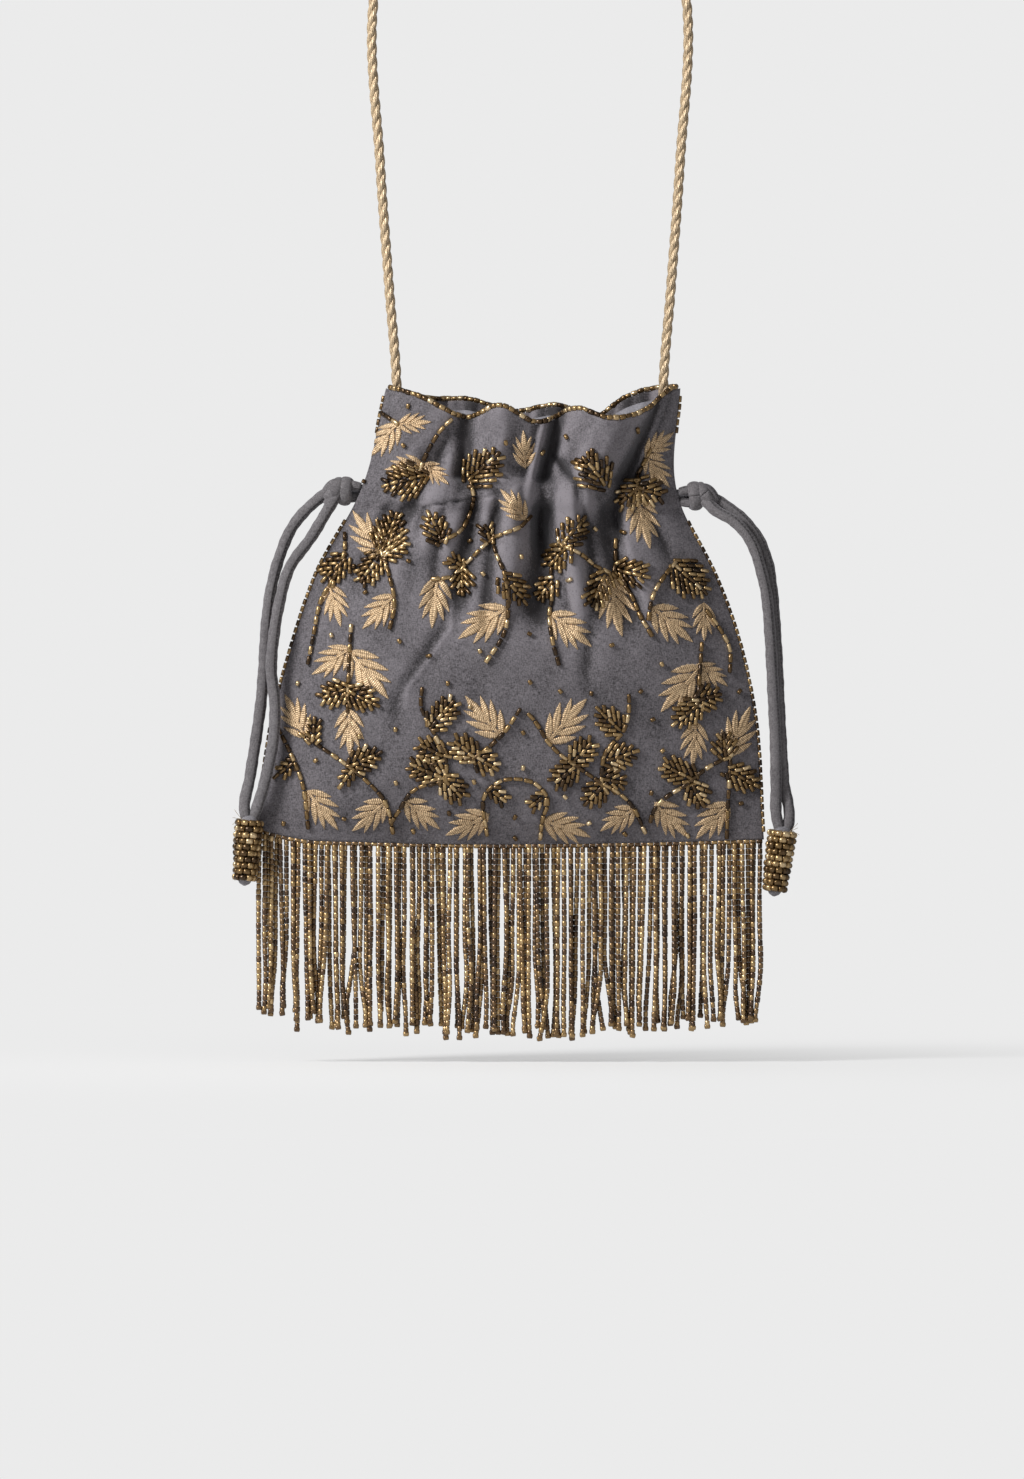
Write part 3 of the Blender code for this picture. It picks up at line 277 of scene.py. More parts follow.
@dataclass(frozen=True)
class Tube:
    """A round or flattened section carried along a line, with closed ends."""

    sides: int = 12
    reference: tuple[float, float, float] = (0.0, 1.0, 0.0)

    def rings(self, line: Array, wide: Array, deep: Array, twist: Array | float = 0.0) -> Array:
        """A ring of points round each point of the line: an ellipse across the line's direction.

        Args:
            line: the points of the line.
            wide: the half width in the line's plane, for the whole line or for each point.
            deep: the half depth along the reference.
            twist: how far the ellipse is turned, in radians.

        Returns:
            Rows of points, one row for each point of the line.
        """
        ahead = unit(np.gradient(line, axis=0))
        out = unit(np.cross(np.broadcast_to(self.reference, line.shape), ahead))
        deep_way = np.cross(ahead, out)
        turn = np.linspace(0, 2 * math.pi, self.sides, endpoint=False)[None, :]
        turned = turn + np.broadcast_to(twist, len(line))[:, None]
        wide = np.broadcast_to(wide, len(line))[:, None]
        deep = np.broadcast_to(deep, len(line))[:, None]
        reach = 1 / np.sqrt((np.cos(turned) / wide) ** 2 + (np.sin(turned) / deep) ** 2)
        return (line[:, None] + (reach * np.cos(turned))[..., None] * out[:, None]
                + (reach * np.sin(turned))[..., None] * deep_way[:, None])

    def closed(self, rings: Array, line: Array) -> tuple[Array, list[Array], Array]:
        """The rings' points with a pole at both ends, and the faces and surface places between them.

        Args:
            rings: rows of points, as rings() gives them.
            line: the points of the line.

        Returns:
            The points, the faces and the corners' surface places.
        """
        rows, sides = rings.shape[:2]
        points = np.concatenate([rings.reshape(-1, 3), line[:1], line[-1:]])
        spot = np.arange(sides)
        after = (spot + 1) % sides
        first = np.stack([np.full(sides, rows * sides), after, spot], axis=1)
        last = (rows - 1) * sides
        end = np.stack([np.full(sides, rows * sides + 1), last + spot, last + after], axis=1)
        lengths = along(line)
        caps = np.zeros((2 * sides * 3, 2))
        caps[sides * 3:, 1] = lengths[-1]
        return points, [grid_faces(rows, sides, True), first, end], np.concatenate(
            [grid_uv(rows, sides, True, lengths), caps])

    def piece(self, name: str, line: Array, wide: Array, deep: Array, twist: Array | float = 0.0) -> Piece:
        """A mesh object of the section carried along the line.

        Args:
            name: the piece's name.
            line: the points of the line.
            wide: the half width in the line's plane.
            deep: the half depth along the reference.
            twist: how far the section is turned, in radians.

        Returns:
            The mesh object.
        """
        points, faces, uv = self.closed(self.rings(line, wide, deep, twist), line)
        return new_mesh(name, points, faces, uv)


@dataclass
class Batch:
    """Many small closed shapes gathered into one mesh."""

    points: list[Array] = field(default_factory=list)
    faces: list[Array] = field(default_factory=list)
    uv: list[Array] = field(default_factory=list)
    tints: list[Array] = field(default_factory=list)
    total: int = 0

    def add(self, points: Array, faces: list[Array], uv: Array, tint: Array) -> None:
        """Adds one group of shapes.

        Args:
            points: their points.
            faces: their faces, by the group's own point numbers.
            uv: their corners' surface places.
            tint: a number from 0 to 1 for each point.
        """
        self.points.append(points.reshape(-1, 3))
        self.faces += [group + self.total for group in faces]
        self.uv.append(uv)
        self.tints.append(np.broadcast_to(tint, len(self.points[-1])))
        self.total += len(self.points[-1])

    def carry(self, tube: Tube, line: Array, wide: Array | float, deep: Array | float) -> None:
        """Adds a closed tube that is carried along a line, in the middle of its finish's range of colours.

        Args:
            tube: the tube's section.
            line: the points of the line.
            wide: the half width in the line's plane.
            deep: the half depth along the tube's reference.
        """
        points, faces, uv = tube.closed(tube.rings(line, wide, deep), line)
        self.add(points, faces, uv, np.full(len(points), 0.5))

    def piece(self, name: str) -> Piece:
        """The gathered shapes as one mesh object."""
        return new_mesh(name, np.concatenate(self.points), self.faces, np.concatenate(self.uv),
                        {"tint": np.concatenate(self.tints)})


@dataclass(frozen=True)
class BeadShape:
    """A glass tube bead: a barrel with small bevels, its ends closed round the thread."""

    sides: int = 6
    bevel: float = 0.09
    bore: float = 0.74

    def beads(self, batch: Batch, starts: Array, ends: Array, normals: Array, radii: Array | float,
              tint: Array) -> None:
        """Adds beads to a batch: each bead's section turned round the line from its start to its end.

        Args:
            batch: where the beads go.
            starts: where each bead begins.
            ends: where each bead stops.
            normals: the way that each bead faces, away from what carries it.
            radii: the beads' radii.
            tint: each bead's place in its finish's range of colours.
        """
        count = len(starts)
        if not count:
            return
        turn = np.linspace(0, 2 * math.pi, self.sides, endpoint=False)
        inner = 0.5 - self.bevel
        rings = np.array([(-0.5, self.bore), (-inner, 1.0), (inner, 1.0), (0.5, self.bore)])
        share = np.concatenate([np.repeat(rings[:, 0], self.sides), [-0.5, 0.5]])
        reach = np.concatenate([np.repeat(rings[:, 1], self.sides), [0, 0]])
        cosine = np.concatenate([np.tile(np.cos(turn), 4), [0, 0]]) * reach
        sine = np.concatenate([np.tile(np.sin(turn), 4), [0, 0]]) * reach
        run = ends - starts
        ahead = unit(run)
        beside = unit(np.cross(ahead, normals))
        up = np.cross(beside, ahead)
        radii = np.broadcast_to(radii, count)[:, None, None]
        points = ((starts + ends)[:, None] / 2 + share[None, :, None] * run[:, None]
                  + radii * (cosine[None, :, None] * beside[:, None] + sine[None, :, None] * up[:, None]))
        spot = np.arange(self.sides)
        after = (spot + 1) % self.sides
        body = grid_faces(4, self.sides, True)
        pole, last = 4 * self.sides, 3 * self.sides
        low = np.stack([np.full(self.sides, pole), after, spot], axis=1)
        high = np.stack([np.full(self.sides, pole + 1), last + spot, last + after], axis=1)
        shift = (np.arange(count) * len(share))[:, None, None]
        faces = [(group[None] + shift).reshape(-1, group.shape[1]) for group in (body, low, high)]
        corners = sum(group.size for group in faces)
        batch.add(points, faces, np.zeros((corners, 2)), np.repeat(tint, len(share)))

    def string(self, batch: Batch, line: Array, normals: Array, length: float, gap: float, radius: float,
               chance: np.random.Generator, low: float = 0.0, high: float = 1.0) -> None:
        """Strings beads end to end along a line.

        Args:
            batch: where the beads go.
            line: close points along the string.
            normals: the way out at each of those points.
            length: one bead's length.
            gap: the bare thread between two beads.
            radius: a bead's radius.
            chance: the seeded source of the beads' small differences.
            low: the darkest tint.
            high: the lightest tint.
        """
        total = along(line)[-1]
        count = max(1, int((total + gap) / (length + gap)))
        pitch = total / count
        middles = (np.arange(count) + 0.5) * pitch
        half = pitch / 2 - gap / 2
        first, last = (walked(line, line, middles + step) for step in (-half, half))
        out = unit(walked(line, normals, middles))
        sizes = radius * (1 + 0.06 * chance.standard_normal(count).clip(-2, 2))
        self.beads(batch, first, last, out, sizes, chance.uniform(low, high, count))


class Graph:
    """The node tree of one material, with short ways to add nodes and join them."""

    def __init__(self, name: str) -> None:
        """Starts a material with its Principled shader."""
        self.material = bpy.data.materials.new(name)
        self.material.use_nodes = True
        self.tree = self.material.node_tree
        self.shader = self.tree.nodes["Principled BSDF"]

    def add(self, kind: str, inputs: dict | None = None, **settings: object) -> bpy.types.Node:
        """Adds a node.

        Args:
            kind: the node's type, without its ShaderNode prefix.
            inputs: a value or an output socket for each input, by name or number.
            settings: the node's own settings.

        Returns:
            The node.
        """
        node = self.tree.nodes.new("ShaderNode" + kind)
        for key, value in settings.items():
            setattr(node, key, value)
        for key, value in (inputs or {}).items():
            self.put(node.inputs[key], value)
        return node

    def put(self, socket: Socket, value: object) -> None:
        """Sets a socket's value, or joins another node's output to it."""
        if isinstance(value, Socket):
            self.tree.links.new(value, socket)
        else:
            socket.default_value = value

    def dress(self, **values: object) -> None:
        """Sets or joins the shader's sockets, an underscore standing for a space."""
        for key, value in values.items():
            self.put(self.shader.inputs[key.replace("_", " ")], value)

    def ramp(self, factor: Socket, stops: tuple) -> Socket:
        """A colour ramp over (place, colour) stops.

        Args:
            factor: the number that picks the colour.
            stops: each stop's place and its red, green and blue.

        Returns:
            The colour output.
        """
        node = self.add("ValToRGB", {"Fac": factor})
        points = node.color_ramp.elements
        while len(points) < len(stops):
            points.new(0.5)
        for point, (place, colour) in zip(points, stops):
            point.position = place
            point.color = (*colour, 1.0)
        return node.outputs["Color"]

    def noise(self, place: Socket, scale: float, detail: float = 3.0) -> Socket:
        """Noise over a place, as an output that runs from 0 to 1."""
        return self.add("TexNoise", {"Vector": place, "Scale": scale, "Detail": detail}).outputs["Fac"]

    def math(self, operation: str, first: object, second: object = 0.0, clamp: bool = False) -> Socket:
        """One sum on two numbers or outputs, whose result is returned as an output."""
        return self.add("Math", {0: first, 1: second}, operation=operation, use_clamp=clamp).outputs[0]

    def mix(self, factor: object, first: object, second: object, blend: str = "MIX") -> Socket:
        """Two colours mixed by a factor, as an output."""
        node = self.add("MixRGB", {"Fac": factor, "Color1": first, "Color2": second}, blend_type=blend)
        return node.outputs["Color"]

    def bump(self, height: Socket, strength: float, distance: float,
             below: Socket | None = None) -> Socket:
        """A bump on the surface, on top of another one if given.

        Args:
            height: the height's output.
            strength: how strongly it shows.
            distance: the height in metres that one unit stands for.
            below: the bump that it is added to.

        Returns:
            The normal output.
        """
        node = self.add("Bump", {"Height": height, "Strength": strength, "Distance": distance})
        if below:
            self.put(node.inputs["Normal"], below)
        return node.outputs["Normal"]


@dataclass(frozen=True)
class ClothFinish:
    """Dyed cloth with a fine weave, soft worn patches and a short nap."""

    name: str
    dark: Colour
    light: Colour
    sheen: float = 0.35
    roughness: float = 0.78
    thread: float = 0.00042
    fold_shading: float = 0.50
    seam: bool = False

    def material(self) -> bpy.types.Material:
        """Builds the cloth: colour from noise at three sizes, painted shade in the folds' hollows and painted
        light on their ridges, and a woven relief.

        Returns:
            The material.
        """
        graph = Graph(self.name)
        place = graph.add("TexCoord").outputs["Object"]
        patches = graph.add("TexNoise", {"Vector": place, "Scale": 38.0, "Detail": 4.0, "Roughness": 0.62})
        slub = graph.add("Mapping", {"Vector": place, "Scale": (900.0, 900.0, 2600.0)}).outputs[0]
        slub_up = graph.add("Mapping", {"Vector": place, "Scale": (2600.0, 900.0, 900.0)}).outputs[0]
        fine = graph.math("ADD", graph.noise(slub, 1.0), graph.noise(slub_up, 1.0, 2.0))
        fleck = graph.math("MULTIPLY", graph.math("SUBTRACT", fine, 1.0), 1.1)
        worn = graph.noise(place, 520.0)
        mottle = graph.math("ADD", graph.math("MULTIPLY", patches.outputs["Fac"], 0.55),
                            graph.math("SUBTRACT", graph.math("MULTIPLY", worn, 0.45), 0.02))
        # Painted shade and light: the hollow attribute darkens the colour in the folds' valleys and lightens
        # it on their ridges.
        hollow = graph.add("Attribute", attribute_name="hollow").outputs["Fac"]
        fold_shading = graph.math("MULTIPLY", hollow, self.fold_shading)
        tone = graph.math("SUBTRACT", graph.math("ADD", mottle, fleck), fold_shading, clamp=True)
        colour = graph.ramp(tone, ((0.05, self.dark), (0.95, self.light)))
        spacing = 2 * math.pi / self.thread / 20
        waves = {"Vector": place, "Scale": spacing, "Distortion": 0.6, "Detail Scale": 2.0}
        warp, weft = (graph.add("TexWave", waves, bands_direction=way).outputs["Fac"] for way in "XZ")
        weave = graph.math("MAXIMUM", warp, weft)
        normal = graph.bump(graph.math("ADD", weave, fine), 0.35, 0.00012)
        normal = graph.bump(graph.noise(place, 150.0), 0.30, 0.0006, normal)
        if self.seam:
            colour, normal = self.sewn(graph, colour, normal)
        graph.dress(Base_Color=colour, Roughness=self.roughness, Normal=normal, Specular_IOR_Level=0.25,
                    Sheen_Weight=self.sheen, Sheen_Roughness=0.45, Sheen_Tint=(0.80, 0.78, 0.84, 1.0))
        return graph.material

    def sewn(self, graph: Graph, colour: Socket, normal: Socket) -> tuple[Socket, Socket]:
        """Adds a sewn seam along one side of a tube of cloth: a groove with dark stitches every 1.7 mm.

        Args:
            graph: the material's nodes.
            colour: the cloth's colour.
            normal: the cloth's bump.

        Returns:
            The colour and the bump with the seam on them.
        """
        parts = graph.add("SeparateXYZ", {0: graph.add("UVMap", uv_map="surface").outputs[0]})
        away = graph.math("ABSOLUTE", graph.math("SUBTRACT", parts.outputs[0], 0.62))
        groove = graph.math("SUBTRACT", 1.0, graph.math("MULTIPLY", away, 22.0), clamp=True)
        steps = graph.math("SINE", graph.math("MULTIPLY", parts.outputs[1], 2 * math.pi / 0.0017))
        stitch = graph.math("MULTIPLY", groove, graph.math("GREATER_THAN", steps, -0.1))
        colour = graph.mix(graph.math("MULTIPLY", groove, 0.45), colour, (0.045, 0.042, 0.046, 1.0))
        colour = graph.mix(graph.math("MULTIPLY", stitch, 0.75), colour, (0.016, 0.013, 0.013, 1.0))
        return colour, graph.bump(graph.math("SUBTRACT", 1.0, groove), 0.7, 0.0005, normal)


@dataclass(frozen=True)
class BeadFinish:
    """Metal-lined glass beads whose colours run from dark brown to pale gold."""

    name: str
    stops: tuple[tuple[float, Colour], ...]
    metallic: float = 0.80
    roughness: float = 0.30

    def material(self) -> bpy.types.Material:
        """Builds the glass: each bead's own tint, flecked with tarnish, under a glossy coat.

        Returns:
            The material.
        """
        graph = Graph(self.name)
        tint = graph.add("Attribute", attribute_name="tint").outputs["Fac"]
        place = graph.add("TexCoord").outputs["Object"]
        tarnish = graph.noise(place, 900.0, 2.0)
        shade = graph.math("ADD", tint, graph.math("MULTIPLY", graph.math("SUBTRACT", tarnish, 0.5), 0.35))
        colour = graph.ramp(shade, self.stops)
        rough = graph.math("ADD", graph.math("MULTIPLY", tarnish, 0.25), self.roughness - 0.1)
        graph.dress(Base_Color=colour, Metallic=self.metallic, Roughness=rough, Coat_Weight=0.30,
                    Coat_Roughness=0.16, Normal=graph.bump(tarnish, 0.25, 0.00015))
        return graph.material


@dataclass(frozen=True)
class ThreadFinish:
    """Gold thread: fine fibres side by side that follow the surface."""

    name: str
    dark: Colour
    light: Colour
    fibres: float
    slant: float
    metallic: float = 0.35
    roughness: float = 0.42

    def material(self) -> bpy.types.Material:
        """Builds the thread: stripes over the piece's own surface places, roughened by noise.

        Returns:
            The material.
        """
        graph = Graph(self.name)
        surface = graph.add("UVMap", uv_map="surface").outputs[0]
        parts = graph.add("SeparateXYZ", {0: surface})
        run = graph.math("ADD", graph.math("MULTIPLY", parts.outputs[1], self.fibres),
                         graph.math("MULTIPLY", parts.outputs[0], self.slant))
        stripe = graph.math("MULTIPLY", graph.math("ADD", graph.math("SINE", run), 1.0), 0.5)
        place = graph.add("TexCoord").outputs["Object"]
        uneven = graph.noise(place, 900.0)
        shade = graph.math("ADD", graph.math("MULTIPLY", stripe, 0.45), graph.math("MULTIPLY", uneven, 0.9))
        colour = graph.ramp(shade, ((0.30, self.dark), (0.90, self.light)))
        normal = graph.bump(graph.math("ADD", stripe, uneven), 0.6, 0.00022)
        graph.dress(Base_Color=colour, Metallic=self.metallic, Roughness=self.roughness, Sheen_Weight=0.25,
                    Sheen_Roughness=0.4, Normal=normal)
        return graph.material


BRONZE_STOPS = ((0.0, (0.024, 0.013, 0.006)), (0.28, (0.090, 0.050, 0.018)), (0.55, (0.235, 0.145, 0.056)),
                (0.80, (0.430, 0.295, 0.140)), (1.0, (0.680, 0.520, 0.310)))
FRINGE_STOPS = ((0.0, (0.036, 0.020, 0.012)), (0.25, (0.125, 0.070, 0.032)), (0.50, (0.245, 0.150, 0.062)),
                (0.75, (0.390, 0.255, 0.110)), (1.0, (0.680, 0.490, 0.250)))


@dataclass(frozen=True)
class Finishes:
    """Every finish of the pouch, built once."""

    cloth: ClothFinish = ClothFinish("gathered_cloth", (0.030, 0.027, 0.029), (0.205, 0.188, 0.204), 0.45)
    lining: ClothFinish = ClothFinish("lining_cloth", (0.15, 0.144, 0.16), (0.33, 0.32, 0.35), 0.30, 0.60)
    tube: ClothFinish = ClothFinish("tie_cloth", (0.07, 0.064, 0.067), (0.205, 0.192, 0.199), 0.30, seam=True)
    core: ClothFinish = ClothFinish("pull_cloth", (0.110, 0.105, 0.113), (0.280, 0.270, 0.290), 0.30)
    bronze: BeadFinish = BeadFinish("bronze_bead_glass", BRONZE_STOPS)
    fringe: BeadFinish = BeadFinish("fringe_bead_glass", FRINGE_STOPS, 0.65, 0.32)
    stitches: ThreadFinish = ThreadFinish("satin_stitch", (0.130, 0.076, 0.032), (0.740, 0.530, 0.315),
                                          2 * math.pi / 0.00085, 9.0)
    rope: ThreadFinish = ThreadFinish("rope_yarn", (0.170, 0.105, 0.048), (0.740, 0.570, 0.370),
                                      2 * math.pi / 0.0040, 60.0)
    sewing: ThreadFinish = ThreadFinish("sewing_thread", (0.200, 0.150, 0.100), (0.550, 0.450, 0.320),
                                        2 * math.pi / 0.0010, 20.0)

    def build(self) -> Materials:
        """The materials by the names of this class's fields."""
        return {name: getattr(self, name).material() for name in self.__dataclass_fields__}


def settle(piece: Piece, body: str, slot: str, material: bpy.types.Material, *nodes: str) -> None:
    """Gives a piece its finish and its body, and hides the nodes that it stands for.

    Args:
        piece: the finished piece.
        body: the body that it moves with, or nothing.
        slot: not used.
        material: its finish.
        nodes: the solids that it replaces.
    """
    piece.data.materials.clear()
    piece.data.materials.append(material)
    if body:
        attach(piece, body)
    if nodes:
        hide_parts(*nodes)
    faces = len(piece.data.polygons) if piece.type == "MESH" else 0
    LOG.info("%s rides on %s, %d faces", piece.name, body or "two bodies", faces)


@dataclass(frozen=True)
class PouchForm:
    """The pouch's surface as a function of the place across it and the share of its height."""

    base_z: float = BASE_Z
    tall: float = TALL
    casing: float = CASING
    half_widths: Stations = ((0, 0.107), (0.30, 0.1004), (0.586, 0.0842), (CASING_SHARE, 0.0666), (1, 0.062))
    leans: Stations = ((0, -0.0085), (0.40, -0.0057), (CASING_SHARE, -0.0048), (1, 0.0013))
    depths: Stations = ((0, 0), (0.06, 0.36 * FULL_DEPTH), (0.20, 0.78 * FULL_DEPTH), (0.42, FULL_DEPTH),
                        (0.62, 0.92 * FULL_DEPTH), (CASING_SHARE, 0.015), (1, 0.018))
    seam_fullness: float = 2.6
    rim_fullness: float = 7.0
    cloth: float = 0.0008
    seam_gap: float = 0.0003
    casing_slit: float = 0.0030
    slit_height: float = 0.0070
    back_gathers: float = 4
    back_depth: float = 0.0030
    back_rise: float = 0.52
    fold_end: float = 0.055
    wrinkle: float = 0.00030
    cinch_valleys: float = 0.45
    cinch_ridges: float = 0.28
    cinch_reach: float = 0.030

    @property
    def casing_share(self) -> float:
        """The casing's share of the height."""
        return self.casing / self.tall

    def half_width(self, share: Array) -> Array:
        """Half the pouch's width at a share of its height."""
        return smooth_curve(self.half_widths, share)

    def lean(self, share: Array) -> Array:
        """How far the pouch's middle hangs off the strap's middle."""
        return smooth_curve(self.leans, share)

    def height(self, across: Array, share: Array, side: Side) -> Array:
        """The height of a point: straight from the base seam to the casing, then up to the dipping rim.

        Args:
            across: from -1 at the left seam to 1 at the right.
            share: from 0 at the base seam to 1 at the rim.
            side: the face of the pouch.

        Returns:
            The height in metres.
        """
        casing = self.base_z + self.casing
        base, rim = self.edges(across, side)
        low = base + (casing - base) * share / self.casing_share
        high = casing + (rim - casing) * (share - self.casing_share) / (1 - self.casing_share)
        return np.where(share < self.casing_share, low, high)

    def edges(self, across: Array, side: Side) -> tuple[Array, Array]:
        """The heights of the base seam and of the rim.

        Args:
            across: places from the left seam to the right.
            side: the face of the pouch.

        Returns:
            The base seam's heights and the rim's.
        """
        rim = FRONT_RIM if side is Side.FRONT else BACK_RIM
        base = self.base_z + smooth_curve(BASE_SAG, across)
        return base, self.base_z + self.tall - smooth_curve(rim, across)

    def casing_end(self, hand: Hand) -> tuple[float, float]:
        """The place across and the height of the casing's end at one hand."""
        share = self.casing_share
        return float(self.lean(share)) + hand.value * float(self.half_width(share)), self.base_z + self.casing

    def folds(self, across: Array, share: Array, side: Side) -> Array:
        """How far the gathers push the cloth out: bell-shaped ridges and valleys along their own lines.

        Args:
            across: from -1 at the left seam to 1 at the right.
            share: the share of the height.
            side: the face of the pouch.

        Returns:
            The push in metres.
        """
        fade = 1 - np.abs(across) ** 4
        rumple = self.wrinkle * self.rumples(across, share, side)
        if side is Side.BACK:
            rise = np.clip((share - self.back_rise) / (self.casing_share - self.back_rise), 0, 1)
            wave = np.cos(math.pi * (self.back_gathers * across + 0.35))
            wave = wave + 0.3 * np.cos(math.pi * 1.7 * self.back_gathers * across)
            crease = 0.25 * np.cos(math.pi * (17 * across + 2.2 * share)) * rise
            return fade * (rise * rise * self.back_depth * (wave + crease) + rumple)
        total = np.zeros(np.broadcast(across, share).shape)
        for low_across, low, high_across, high, low_width, high_width, push, sharp in FOLDS:
            part = np.clip((share - low) / (high - low), 0, 1)
            middle = low_across + (high_across - low_across) * part
            width = low_width + (high_width - low_width) * part
            past = (share - low - (high - low) * part) / self.fold_end
            total += push * np.exp(-np.abs((across - middle) / width) ** sharp) * np.exp(-past ** 2)
        held = np.exp(-((share - self.casing_share) / self.cinch_reach) ** 4)
        cinched = 1 - np.where(total < 0, self.cinch_valleys, self.cinch_ridges) * held
        return fade * (total * cinched + rumple)

    def rumples(self, across: Array, share: Array, side: Side) -> Array:
        """Small soft rumples: a sum of slanted waves, stronger towards the gathered neck.

        Args:
            across: from -1 at the left seam to 1 at the right.
            share: the share of the height.
            side: the face of the pouch.

        Returns:
            Their height, in units of the wrinkle's size.
        """
        total = 0.0
        for spot, (wide, tall, turn) in enumerate(RUMPLES):
            bend = 0.4 * np.sin(5 * share + spot)
            total = total + np.sin(wide * across * 2 + tall * share * 3 + turn + side.value + bend)
        strength = 0.45 + 1.3 * np.exp(-((share - self.casing_share) / 0.16) ** 2)
        return total / 2 * strength

    def slit(self, share: Array) -> Array:
        """Half the gap at the side seams: sewn shut, and open where the drawstrings leave the casing."""
        rise = (share * self.tall - self.casing) / self.slit_height
        return self.seam_gap / 2 + self.casing_slit * np.exp(-rise ** 4)

    def point(self, across: Array, share: Array, side: Side, inset: float | Array = 0.0) -> Array:
        """A point of the cloth's outer face, or of a layer that lies inset behind it.

        The swell from the seam plane is the depth times one minus the place across to the fullness' power.

        Args:
            across: from -1 at the left seam to 1 at the right.
            share: from 0 at the base seam to 1 at the rim.
            side: the face of the pouch.
            inset: how far behind the outer face.

        Returns:
            The points, one row each.
        """
        across, share = np.broadcast_arrays(np.asarray(across, float), np.asarray(share, float))
        near_rim = np.clip((share - self.casing_share) / (1 - self.casing_share), 0, 1)
        fullness = self.seam_fullness + (self.rim_fullness - self.seam_fullness) * near_rim
        swell = smooth_curve(self.depths, share) * (1 - np.abs(across) ** fullness)
        out = self.slit(share) + self.cloth + swell + self.folds(across, share, side) - inset
        out = np.maximum(out, self.cloth * 0.5)
        return np.stack([self.lean(share) + self.half_width(share) * across, side.value * out,
                         self.height(across, share, side)], axis=-1)

    def locate(self, x: Array, z: Array, side: Side) -> tuple[Array, Array]:
        """The place across and the share of the height that lie at x and z, found by closing in on both.

        Args:
            x: places across in metres.
            z: heights in metres.
            side: the face of the pouch.

        Returns:
            The place across and the share of the height.
        """
        across = x / self.half_widths[0][1]
        casing = self.base_z + self.casing
        for _ in range(10):
            base, rim = self.edges(across, side)
            low = self.casing_share * (z - base) / (casing - base)
            high = self.casing_share + (1 - self.casing_share) * (z - casing) / (rim - casing)
            share = np.clip(np.where(z < casing, low, high), 0, 1)
            across = np.clip((x - self.lean(share)) / self.half_width(share), -1, 1)
        return across, share

    def seat(self, x: Array, z: Array, side: Side, lift: float | Array = 0.0) -> tuple[Array, Array]:
        """Points over the cloth at x and z, and the cloth's outward directions there.

        Args:
            x: places across in metres.
            z: heights in metres.
            side: the face of the pouch.
            lift: how far the points stand off the cloth.

        Returns:
            The points and the outward directions.
        """
        step = 0.0004

        def depth(dx: float, dz: float) -> Array:
            """The cloth's place in depth, a step aside."""
            return self.point(*self.locate(x + dx, z + dz, side), side)[..., 1]

        across, share = self.locate(x, z, side)
        seats = self.point(across, share, side)
        slope_x = np.clip((depth(step, 0) - depth(-step, 0)) / (2 * step), -1.6, 1.6)
        slope_z = np.clip((depth(0, step) - depth(0, -step)) / (2 * step), -1.6, 1.6)
        out = unit(np.stack([-slope_x, np.ones_like(slope_x), -slope_z], axis=-1) * side.value)
        return seats + out * np.asarray(lift)[..., None], out


